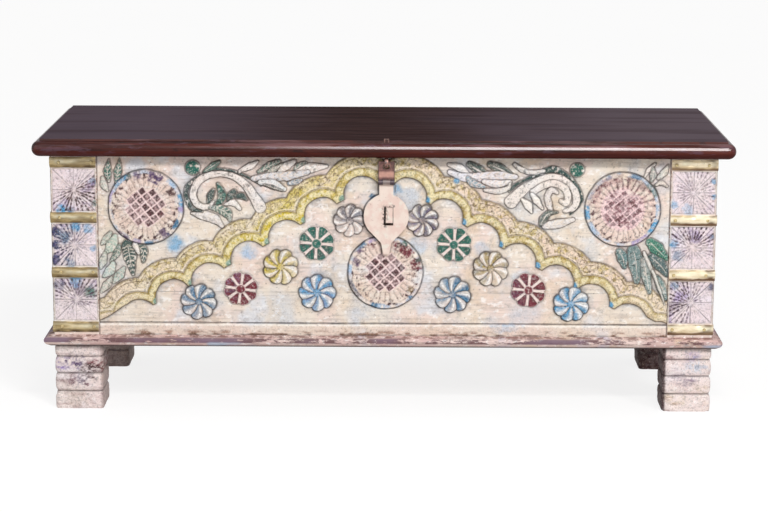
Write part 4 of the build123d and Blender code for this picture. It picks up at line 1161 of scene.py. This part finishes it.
def carve_post(x, z, side):
    """A pilaster: three squares between the straps, each a star of eight rays and chip cuts."""
    relief = Relief(x, z, 0.0)
    middle = side * POST_MIDDLE
    if side < 0:
        squares = (
            (
                (
                    (-30, 26, 12, NAVY, 0.8), (0, 32, 14, SKY, 0.8), (24, 14, 13, TEAL, 0.9),
                    (6, 18, 12, PURPLE, 0.5),
                ),
                (0, 1, 0.55),
            ),
            (
                (
                    (-34, 0, 9, NAVY, 1.0), (-34, 24, 10, NAVY, 1.0), (-34, -26, 10, NAVY, 1.0),
                    (-20, 16, 16, BLUE, 0.8), (0, 32, 12, SKY, 0.9), (-8, -32, 12, BLUE, 0.9),
                    (24, 28, 10, SKY, 0.7), (32, -6, 7, SKY, 0.6),
                ),
                (-1, 0.3, 0.75),
            ),
            (
                (
                    (-22, -34, 10, SKY, 1.0), (-6, -36, 8, BLUE, 0.9), (34, 14, 8, BLUE, 0.7),
                    (35, -24, 7, TEAL, 0.7), (26, 6, 10, PURPLE, 0.4),
                ),
                (0.7, -1, 1.0),
            ),
        )
    else:
        squares = (
            (
                (
                    (-28, 28, 10, BLUE, 0.7), (-30, -6, 12, PURPLE, 0.6), (33, 26, 9, NAVY, 0.8),
                    (-16, 10, 14, LILAC, 0.6),
                ),
                (-1, 0.4, 0.75),
            ),
            (
                (
                    (-32, 6, 9, SKY, 0.9), (-24, -14, 12, BLUE, 0.6), (34, 20, 6, BLUE, 0.7),
                    (6, 20, 14, LILAC, 0.5),
                ),
                (0.1, 1, 0.6),
            ),
            (
                (
                    (35, -6, 6, SKY, 0.9), (34, 20, 6, SKY, 0.7), (-33, -20, 8, SKY, 0.7),
                    (-10, -30, 12, MIST, 0.7),
                ),
                (0.6, 0.2, 0.32),
            ),
        )
    for index, (low, high) in enumerate(zip(STRAP_HEIGHTS, STRAP_HEIGHTS[1:])):
        smudges, (lean_x, lean_z, strength) = squares[index]
        centre = (middle, (low + high) / 2)
        dx, dz = x - centre[0], z - centre[1]
        square = np.maximum(np.abs(dx), np.abs(dz)) - SQUARE_HALF
        inside = soft(square, 1.2)
        patchy, grit = cloud(x, z, 11, 100 + index + side), cloud(x, z, 3.4, 110 + index)
        relief.level(inside, -1.2)
        relief.brush(inside * (0.55 + 0.3 * patchy), tint(236, 220, 230))
        for shift_x, shift_z, size, colour, amount in smudges:
            smudge(
                relief, (middle + shift_x, centre[1] + shift_z), size, colour, amount, 120 + index
            )
        angle, r = np.degrees(np.arctan2(dz, dx)) % 45, np.hypot(dx, dz)
        off_ray = np.minimum(angle, 45 - angle) * np.radians(1) * r
        relief.lift(inside * unit(1 - off_ray / 7) * 1.1)
        lean = unit(0.5 + (dx * lean_x + dz * lean_z) / 40) * strength
        drift = (cloud(x, z, 9, 130 + index) - 0.5) * 5
        for place in (11.0, 22.5, 34.0):
            rows = (r + drift - (8 if place == 22.5 else 19)) / 7.5
            off_row = (rows - np.round(rows)) * 7.5
            off_side = (angle + drift - place) * np.radians(1) * r
            size = 0.7 + 1.9 * cloud(x, z, 8, 140 + index)
            chip = (
                soft(np.hypot(off_row * 0.5, off_side * 1.25) - size, 1.4) * inside
                * (np.round(rows) >= 0)
            )
            kept = unit(grit * 3.2 - 1.4 + lean * 0.9) * (0.35 + 0.65 * np.minimum(lean * 1.5, 1))
            relief.cut(chip * kept, 1.4, 0.3 + 0.3 * strength)
            relief.brush(
                chip * unit(lean * 1.5 + (patchy - 0.5) * 1.5),
                DARK_MAROON if index != 1 or side > 0 else NAVY,
            )
        relief.brush(
            inside * lean * unit(grit * 5 - 2.6) * 0.7, PURPLE if index < 2 else tint(134, 96, 100)
        )
        relief.brush(inside * lean * unit(patchy * 4 - 2.2) * 0.5, LILAC)
        relief.cut(
            line(off_ray + drift * 0.12, 2.4) * inside * unit(r / 8)
            * np.clip(patchy * 2.4 + lean * 0.4 - 0.3, 0.15, 1),
            1.4,
            0.9,
        )
        relief.cut(line(square - 0.2, 2.6) * (0.4 + 0.6 * patchy), 1.2, 0.6)
    relief.lift((cloud(x, z, 7, 14) - 0.5) * 0.6)
    edge = POST_HALF - np.abs(x - middle)
    relief.lift(-(np.clip(2.5 - edge, 0, 2.5) ** 2 * 0.4))
    relief.rub = unit(2.2 - edge) * unit(cloud(x, z, 9, 15) * 2 - 0.4)
    relief.soil(soft(edge - 1.0, 1.6) * 0.55)
    return relief


def paint_points(piece, relief, blank):
    """Stores the brushed colours, the dirt and wear, and the painted shade and highlights on a
    piece's points.
    """
    empty = np.zeros((blank, 4))
    paint = np.concatenate([np.column_stack([relief.paint, relief.cover]), empty])
    marks = np.concatenate(
        [np.column_stack([relief.dirt, relief.rub, relief.shade_and_sheen, relief.ridge]), empty]
    )
    for layer, values in (("paint", paint), ("marks", marks)):
        colours = piece.data.color_attributes.new(layer, "FLOAT_COLOR", "POINT")
        colours.data.foreach_set("color", values.astype(np.float32).ravel())


def carved_block(name, x_range, z_range, back, carve, node):
    """A board or post whose front is a carved surface and whose other sides are flat."""
    columns = round((x_range[1] - x_range[0]) / CARVING_PITCH) + 1
    rows = round((z_range[1] - z_range[0]) / CARVING_PITCH) + 1
    x, z = np.meshgrid(np.linspace(*x_range, columns), np.linspace(*z_range, rows))
    relief = carve(x.ravel(), z.ravel())
    relief.settle(rows, columns)
    front = np.stack([x.ravel(), FRONT - relief.height, z.ravel()], 1)
    border = grid_border(rows, columns)
    behind = front[border].copy()
    behind[:, 1] = back
    count = len(front)
    rim = count + np.arange(len(border))
    middle = [[(x_range[0] + x_range[1]) / 2, back, (z_range[0] + z_range[1]) / 2]]
    sides = np.stack([border, rim, np.roll(rim, -1), np.roll(border, -1)], 1)
    cap = np.stack([rim, np.full(len(rim), count + len(rim)), np.roll(rim, -1)], 1)
    piece = make_piece(
        name, np.concatenate([front, behind, middle]), [grid_faces(rows, columns), sides, cap],
        CARVED, "carcass", [node],
    )
    paint_points(piece, relief, len(rim) + 1)
    return piece


for name, x_range, z_range, back, carve, node in (
    (
        "carved_board_lower", (-POST_EDGE, POST_EDGE), (BODY_LOW, SEAM - SEAM_GAP / 2),
        WALL_BACK, carve_panel, "front_board_lower",
    ),
    (
        "carved_board_upper_left", (-POST_EDGE, 0), (SEAM + SEAM_GAP / 2, BODY_TOP),
        WALL_BACK, carve_panel, "front_board_upper",
    ),
    (
        "carved_board_upper_right", (0, POST_EDGE), (SEAM + SEAM_GAP / 2, BODY_TOP),
        WALL_BACK, carve_panel, "front_board_upper",
    ),
    (
        "carved_pilaster_left", (-BODY_END, -POST_EDGE), (BODY_LOW, BODY_TOP),
        POST_BACK, lambda x, z: carve_post(x, z, -1), "front_post_left",
    ),
    (
        "carved_pilaster_right", (POST_EDGE, BODY_END), (BODY_LOW, BODY_TOP),
        POST_BACK, lambda x, z: carve_post(x, z, 1), "front_post_right",
    ),
):
    carved_block(name, x_range, z_range, back, carve, node)


FOOT_MARKS = {
    (
        -1, -1): ((MAROON, -496, 78, 15, 1.6), (DARK_MAROON, -510, 72, 13, 1.5),
        (DARK_MAROON, -514, 50, 12, 1.6), (MAROON, -512, 43, 8, 1.5), (LILAC, -548, 80, 16, 1.0),
        (PURPLE, -536, 86, 16, 1.0), (PURPLE, -530, 52, 14, 0.8),
        (tint(160, 134, 116), -530, 20, 22, 0.5), (tint(140, 106, 104), -550, 52, 14, 0.7),
    ),
    (
        1, -1): ((PURPLE, 530, 56, 14, 0.6), (PURPLE, 512, 58, 10, 0.5), (MIST, 546, 82, 18, 0.6),
        (SAND, 512, 22, 16, 0.7), (SAND, 552, 40, 12, 0.5), (LILAC, 540, 100, 12, 0.4),
        (MAROON, 498, 96, 6, 0.5),
    ),
}


def lobed_foot(name, side, face, node):
    """A square block foot with rounded lobes, softened and chipped corners, dirt and painted shade
    in its grooves, and dark unpainted wood with painted shade on its inner face and on the front of
    a back foot.
    """
    low, high = (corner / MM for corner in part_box(node))
    centre_x, centre_y, width = (low.x + high.x) / 2, (low.y + high.y) / 2, high.x - low.x
    tops = np.cumsum(FOOT_LOBES)
    levels = np.linspace(0, tops[-1], 130)
    around = 160
    turn = np.linspace(0, 2 * np.pi, around, endpoint=False)
    rings, falls = [], []
    for z in levels:
        lobe = int(min(np.searchsorted(tops, z, side="right"), len(tops) - 1))
        start = 0 if lobe == 0 else tops[lobe - 1]
        share = 2 * (z - start) / (tops[lobe] - start) - 1
        fall = (
            1.2 * share**8 if lobe == 0 and share < 0 else FOOT_GROOVE
            * (1 - math.sqrt(1 - min(abs(share), 1) ** 3.6))
        )
        half = width / 2 - fall
        reach = np.abs(np.cos(turn)) ** FOOT_SQUARENESS + np.abs(np.sin(turn)) ** FOOT_SQUARENESS
        reach = half / reach ** (1 / FOOT_SQUARENESS)
        x, y = reach * np.cos(turn), reach * np.sin(turn)
        bump = cloud(x + centre_x + y * 0.7, z + y, 14, 41 + (side > 0)) - 0.5
        chip = (
            unit(cloud(x * 1.1 + y, z * 1.3 + centre_x, 8, 43) - 0.62) * 12 * (reach > half * 1.06)
        )
        shrink = 1 - (unit(-bump) * 2.2 + chip) / half
        rings.append(
            np.stack([centre_x + x * shrink, centre_y + y * shrink, np.full(around, z)], 1)
        )
        falls.append(np.full(around, fall))
    points = np.concatenate(rings)
    relief = Relief(points[:, 0], points[:, 2], 0.0)
    groove = unit(np.concatenate(falls) / FOOT_GROOVE * 1.5 - 0.35)
    fine = cloud(points[:, 0] + points[:, 1], points[:, 2], 5, 44 + side)
    grit = cloud(points[:, 0] - points[:, 1], points[:, 2], 3, 45)
    # Grooves between the lobes darken with dirt and painted shade.
    relief.soil(groove * (points[:, 2] > 4) * (0.45 + 0.45 * fine) * 0.9)
    relief.shade_and_sheen = np.clip(groove * 0.7 + (fine - 0.5) * 0.5, 0, 0.6)
    relief.ridge = unit(0.5 - groove) * np.clip(grit * 3 - 1.4, 0, 0.6)
    relief.soil(unit(grit * 6 - 4.3) * 0.6)
    streaks = cloud(points[:, 0] * 0.4 + points[:, 1], points[:, 2], 6, 47)
    relief.brush((0.5 + 0.3 * fine) * np.ones(len(points)), tint(238, 220, 220))
    relief.brush(unit(streaks * 4 - 2.3) * 0.5, tint(172, 140, 142))
    relief.brush(unit(grit * 5 - 3.1) * 0.5, tint(250, 244, 240))
    before = relief.cover.copy(), relief.paint.copy()
    for colour, place_x, place_z, size, amount in FOOT_MARKS.get((side, face), ()):
        smudge(relief, (place_x, place_z), size, colour, amount, 46, stretch=1.5)
    kept = unit(grit * 2.6 + streaks * 2.0 - 1.7)
    relief.cover = before[0] + (relief.cover - before[0]) * kept
    relief.paint = before[1] + (relief.paint - before[1]) * kept[:, None]
    # Inner faces, and the front faces of the back feet, turn dark: unpainted dark wood with painted
    # shade.
    inner = (centre_x - points[:, 0]) * side
    inside_face = soft(width / 2 - 5 - inner, 3)
    front_face = soft(width / 2 - 5 - (centre_y - points[:, 1]), 3)
    wood = tint(66, 14, 26) if side > 0 else tint(132, 100, 94)
    share = (0.95 if side > 0 else 0.5) * (0.75 + 0.4 * fine)
    dark_wood_and_shade = np.maximum(inside_face, front_face * (face > 0)) * share
    relief.brush(dark_wood_and_shade, wood)
    relief.soil(dark_wood_and_shade * (0.4 if side > 0 else 0.2))
    relief.ridge = relief.ridge * (1 - dark_wood_and_shade)
    last = len(points)
    ring = np.arange(around)
    upper = (len(levels) - 1) * around + ring
    bottom = np.stack([ring, np.full(around, last), (ring + 1) % around], 1)
    top = np.stack(
        [upper, (len(levels) - 1) * around + (ring + 1) % around, np.full(around, last + 1)], 1
    )
    points = np.concatenate([points, [[centre_x, centre_y, 0.0], [centre_x, centre_y, tops[-1]]]])
    piece = make_piece(
        name, points, [grid_faces(len(levels), around, closed=True), bottom, top],
        CARVED, "carcass", [node], sharp=50,
    )
    paint_points(piece, relief, 2)


def corner_strap(side, index, height, finish):
    """A thin brass strap bent round a front corner, dented and a little wavy."""
    edge = side * BODY_END
    front = np.linspace(-STRAP_FRONT, 0, 90)
    bend = np.linspace(0, 90, 7)[1:-1]
    back = np.linspace(0, STRAP_SIDE, 44)
    base_x = np.concatenate([edge + side * front, np.full(len(bend) + len(back), edge)])
    base_y = np.concatenate([np.full(len(front) + len(bend), FRONT), FRONT + back])
    turn = np.radians(np.concatenate([np.zeros(len(front)), bend, np.full(len(back), 90.0)]))
    run = np.concatenate([front, bend * 0, back])
    rows = 15
    lift = np.linspace(-STRAP_HEIGHT / 2, STRAP_HEIGHT / 2, rows)
    run, up = np.meshgrid(run, lift)
    seed = 60 + index + 10 * (side > 0)
    wave = cloud(run * 3 + 50 * index, up * 0, 60, seed) - 0.5
    dent = cloud(run, up * 1.6, 13, seed + 1) - 0.5
    pinch = np.exp(-(((run + STRAP_FRONT - 9) / 7) ** 2)) * np.cos(up / 5)
    proud = np.clip(1.3 + dent * 1.9 - pinch * 0.8 - (np.abs(up) / 9.25) ** 2 * 0.6, 0.35, 2.2)
    film = cloud(run * 0.35, up, 7, seed + 2)
    inner_end = np.exp(-(((run + STRAP_FRONT - 8) / 12) ** 2))
    corner_end = np.exp(-(((run + 7) / 8) ** 2)) * (0.9 if side > 0 else 0.2)
    # Darker along the lower edge, more on the right strap: painted shade.
    low_edge = unit((-up - 3.5) / 4) * (1.3 if side > 0 else 0.5)
    tarnish_and_shade = np.clip(
        low_edge + film * 1.6 - 0.9 + inner_end * 0.4 + corner_end * (0.4 + film) - dent, 0, 0.95
    )
    # A painted highlight band along the strap, stronger on the right.
    painted_sheen = np.clip(
        np.exp(-(((up - 2) / 4) ** 2)) * (film * 2.4 - 0.6) * (0.9 if side > 0 else 0.5), 0, 0.9
    )
    z = height + up * (1 + wave * 0.16) + wave * 0.6
    x = base_x + side * np.sin(turn) * proud
    y = base_y - np.cos(turn) * proud
    outer = np.stack([x, y, z], -1)
    inner = np.stack(
        [base_x + side * np.sin(turn) * 0.02 + x * 0, base_y - np.cos(turn) * 0.02 + y * 0, z], -1
    )
    if side < 0:
        outer, inner = outer[:, ::-1], inner[:, ::-1]
    columns = outer.shape[1]
    count = rows * columns
    border = grid_border(rows, columns)
    rim = np.stack([border, border + count, np.roll(border, -1) + count, np.roll(border, -1)], 1)
    name = f"corner_strap_{'left' if side < 0 else 'right'}_{index + 1}"
    piece = make_piece(
        "dented_" + name, np.concatenate([outer.reshape(-1, 3), inner.reshape(-1, 3)]),
        [grid_faces(rows, columns), grid_faces(rows, columns, count)[:, ::-1], rim],
        finish, "carcass", [name],
    )
    if side < 0:
        tarnish_and_shade, painted_sheen = tarnish_and_shade[:, ::-1], painted_sheen[:, ::-1]
    relief = Relief(outer[:, :, 0].ravel(), outer[:, :, 2].ravel(), 0.0)
    # Tarnish with painted shade goes in the dirt layer, the painted highlight band in the next.
    relief.dirt, relief.shade_and_sheen = tarnish_and_shade.ravel(), painted_sheen.ravel()
    paint_points(piece, relief, count)


for side, brass in ((-1, BRASS_LEFT), (1, BRASS_RIGHT)):
    for strap_index, strap_height in enumerate(STRAP_HEIGHTS):
        corner_strap(side, strap_index, strap_height, brass)


for side_name, side in (("left", -1), ("right", 1)):
    for face_name, face in (("front", -1), ("back", 1)):
        lobed_foot(
            f"lobed_foot_{face_name}_{side_name}", side, face, f"{face_name}_foot_{side_name}"
        )


# ---------------------------------------------------------------- finishes of the CAD nodes


# The first word found in a node's name gives its finish
FINISHES = (
    ("strap_nails", NAIL), ("plinth", PLINTH), ("foot", CARVED), ("lid_board", LID),
    ("floor_board", BARE), ("batten_screws", SCREW), ("lid_batten", BARE), ("screws", SCREW),
    ("hinge", BLACK_IRON), ("hasp_plate", PAINTED_IRON), ("hasp_staple", PAINTED_IRON),
    ("hasp_link", LINK), ("hasp", IRON), ("corner_strap_left", BRASS_LEFT),
    ("corner_strap", BRASS_RIGHT), ("post", POST), ("left_board", END_WALL),
    ("right_board", END_WALL), ("board", WALL),
)
for node_name, node_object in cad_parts.items():
    node_object.data.materials.clear()
    node_object.data.materials.append(
        next(finish for word, finish in FINISHES if word in node_name)
    )


# ---------------------------------------------------------------- floor, light and camera

FLOOR_REACH = 60
FLOOR_GLOW = 1.16
FLOOR_WHITENED = 0.72
WINDOW_PLACE = Vector((0.62, -2.55, 2.42))
WINDOW_AIM = Vector((0.5, -0.2, 0.46))
SENSOR_WIDTH = 36.0
PICTURE_WIDTH = 768
FOCAL_LENGTH_PIXELS = 2327.77
CAMERA_PLACE = (23.28, -4129.74, 1065.88)
CAMERA_PITCH, CAMERA_YAW, CAMERA_ROLL = 11.38, -0.32, 0.23


def place_object(name, data, location=(0, 0, 0), direction=None):
    """An object in the scene, turned so that it looks along a direction."""
    holder = bpy.data.objects.new(name, data)
    holder.location = location
    if direction is not None:
        holder.rotation_mode = "QUATERNION"
        holder.rotation_quaternion = Vector(direction).to_track_quat("-Z", "Y")
    bpy.context.collection.objects.link(holder)
    return holder


floor_mesh = bpy.data.meshes.new("floor")
floor_mesh.from_pydata(
    [(FLOOR_REACH * x, FLOOR_REACH * y, 0) for x, y in ((-1, -1), (1, -1), (1, 1), (-1, 1))],
    [], [(0, 1, 2, 3)],
)
floor = place_object("floor", floor_mesh)
floor_finish, floor_place = new_finish("pale_floor", Roughness=0.9, Specular_IOR_Level=0.1)
floor_mottle = floor_place.flecks(1.5, detail=2.0)
connect(floor_finish, floor_mottle.over(tint(226, 224, 222), tint(232, 230, 228)))
floor_tree = floor_finish.node_tree
seen = floor_place.node("LightPath", output="Is Camera Ray")
mirrored = floor_place.node("LightPath", output="Is Glossy Ray")
glow = floor_place.node("Emission", {}, {"Color": (1, 1, 1, 1), "Strength": FLOOR_GLOW})
plain = Shade(floor_tree, floor_tree.nodes["Principled BSDF"].outputs[0])
share = seen.greater(mirrored) * FLOOR_WHITENED
whitened = floor_place.node("MixShader", {}, {0: share, 1: plain, 2: glow})
floor_tree.links.new(whitened.socket, floor_tree.nodes["Material Output"].inputs["Surface"])
floor_mesh.materials.append(floor_finish)

# The world lights the trunk with a pale sky, and shows the camera plain white
world = bpy.data.worlds.new("studio")
world.use_nodes = True
world_tree = world.node_tree
sky = world_tree.nodes["Background"]
sky.inputs["Color"].default_value = (0.97, 0.98, 1.0, 1)
sky.inputs["Strength"].default_value = 0.4
seen = Shade(world_tree).node("LightPath", output="Is Camera Ray")
white = seen.node("Background", {}, {"Color": (1, 1, 1, 1)})
both = seen.node("MixShader", {}, {0: seen, 1: Shade(world_tree, sky.outputs[0]), 2: white})
world_tree.links.new(both.socket, world_tree.nodes["World Output"].inputs["Surface"])
bpy.context.scene.world = world

for name, direction, strength, spread in (
    ("key_light", (-0.6, 0.85, -0.62), 1.02, 12),
    ("fill_light", (0.8, 0.5, -0.3), 0.3, 60),
):
    sun = bpy.data.lights.new(name, "SUN")
    sun.energy = strength
    sun.angle = math.radians(spread)
    place_object(name, sun, direction=direction)

# A window in front of the trunk, up on the right: its light, and the glint that it leaves
for name, width, height, power, is_glint in (
    ("window_light", 1.15, 0.26, 44.0, False),
    ("window_glint", 1.5, 2.0, 200.0, True),
):
    pane = bpy.data.lights.new(name, "AREA")
    pane.shape = "RECTANGLE"
    pane.size, pane.size_y = width, height
    pane.energy = power
    holder = place_object(name, pane, WINDOW_PLACE, WINDOW_AIM - WINDOW_PLACE)
    holder.visible_diffuse, holder.visible_glossy = not is_glint, is_glint

camera_data = bpy.data.cameras.new("camera")
camera_data.sensor_width = SENSOR_WIDTH
camera_data.lens = SENSOR_WIDTH * FOCAL_LENGTH_PIXELS / PICTURE_WIDTH
camera_data.clip_start = 0.1
camera_data.clip_end = 200.0
camera = place_object("camera", camera_data)
pitch, yaw, roll = (math.radians(a) for a in (CAMERA_PITCH, CAMERA_YAW, CAMERA_ROLL))
ahead = Vector(
    (math.sin(yaw) * math.cos(pitch), math.cos(yaw) * math.cos(pitch), -math.sin(pitch))
)
level = Vector((math.cos(yaw), -math.sin(yaw), 0))
upright = level.cross(ahead)
across = math.cos(roll) * level + math.sin(roll) * upright
above = math.cos(roll) * upright - math.sin(roll) * level
turned = Matrix((across, above, -ahead)).transposed().to_4x4()
camera.matrix_world = Matrix.Translation(Vector(CAMERA_PLACE) * MM) @ turned
bpy.context.scene.camera = camera
bpy.context.scene.view_settings.view_transform = "Standard"
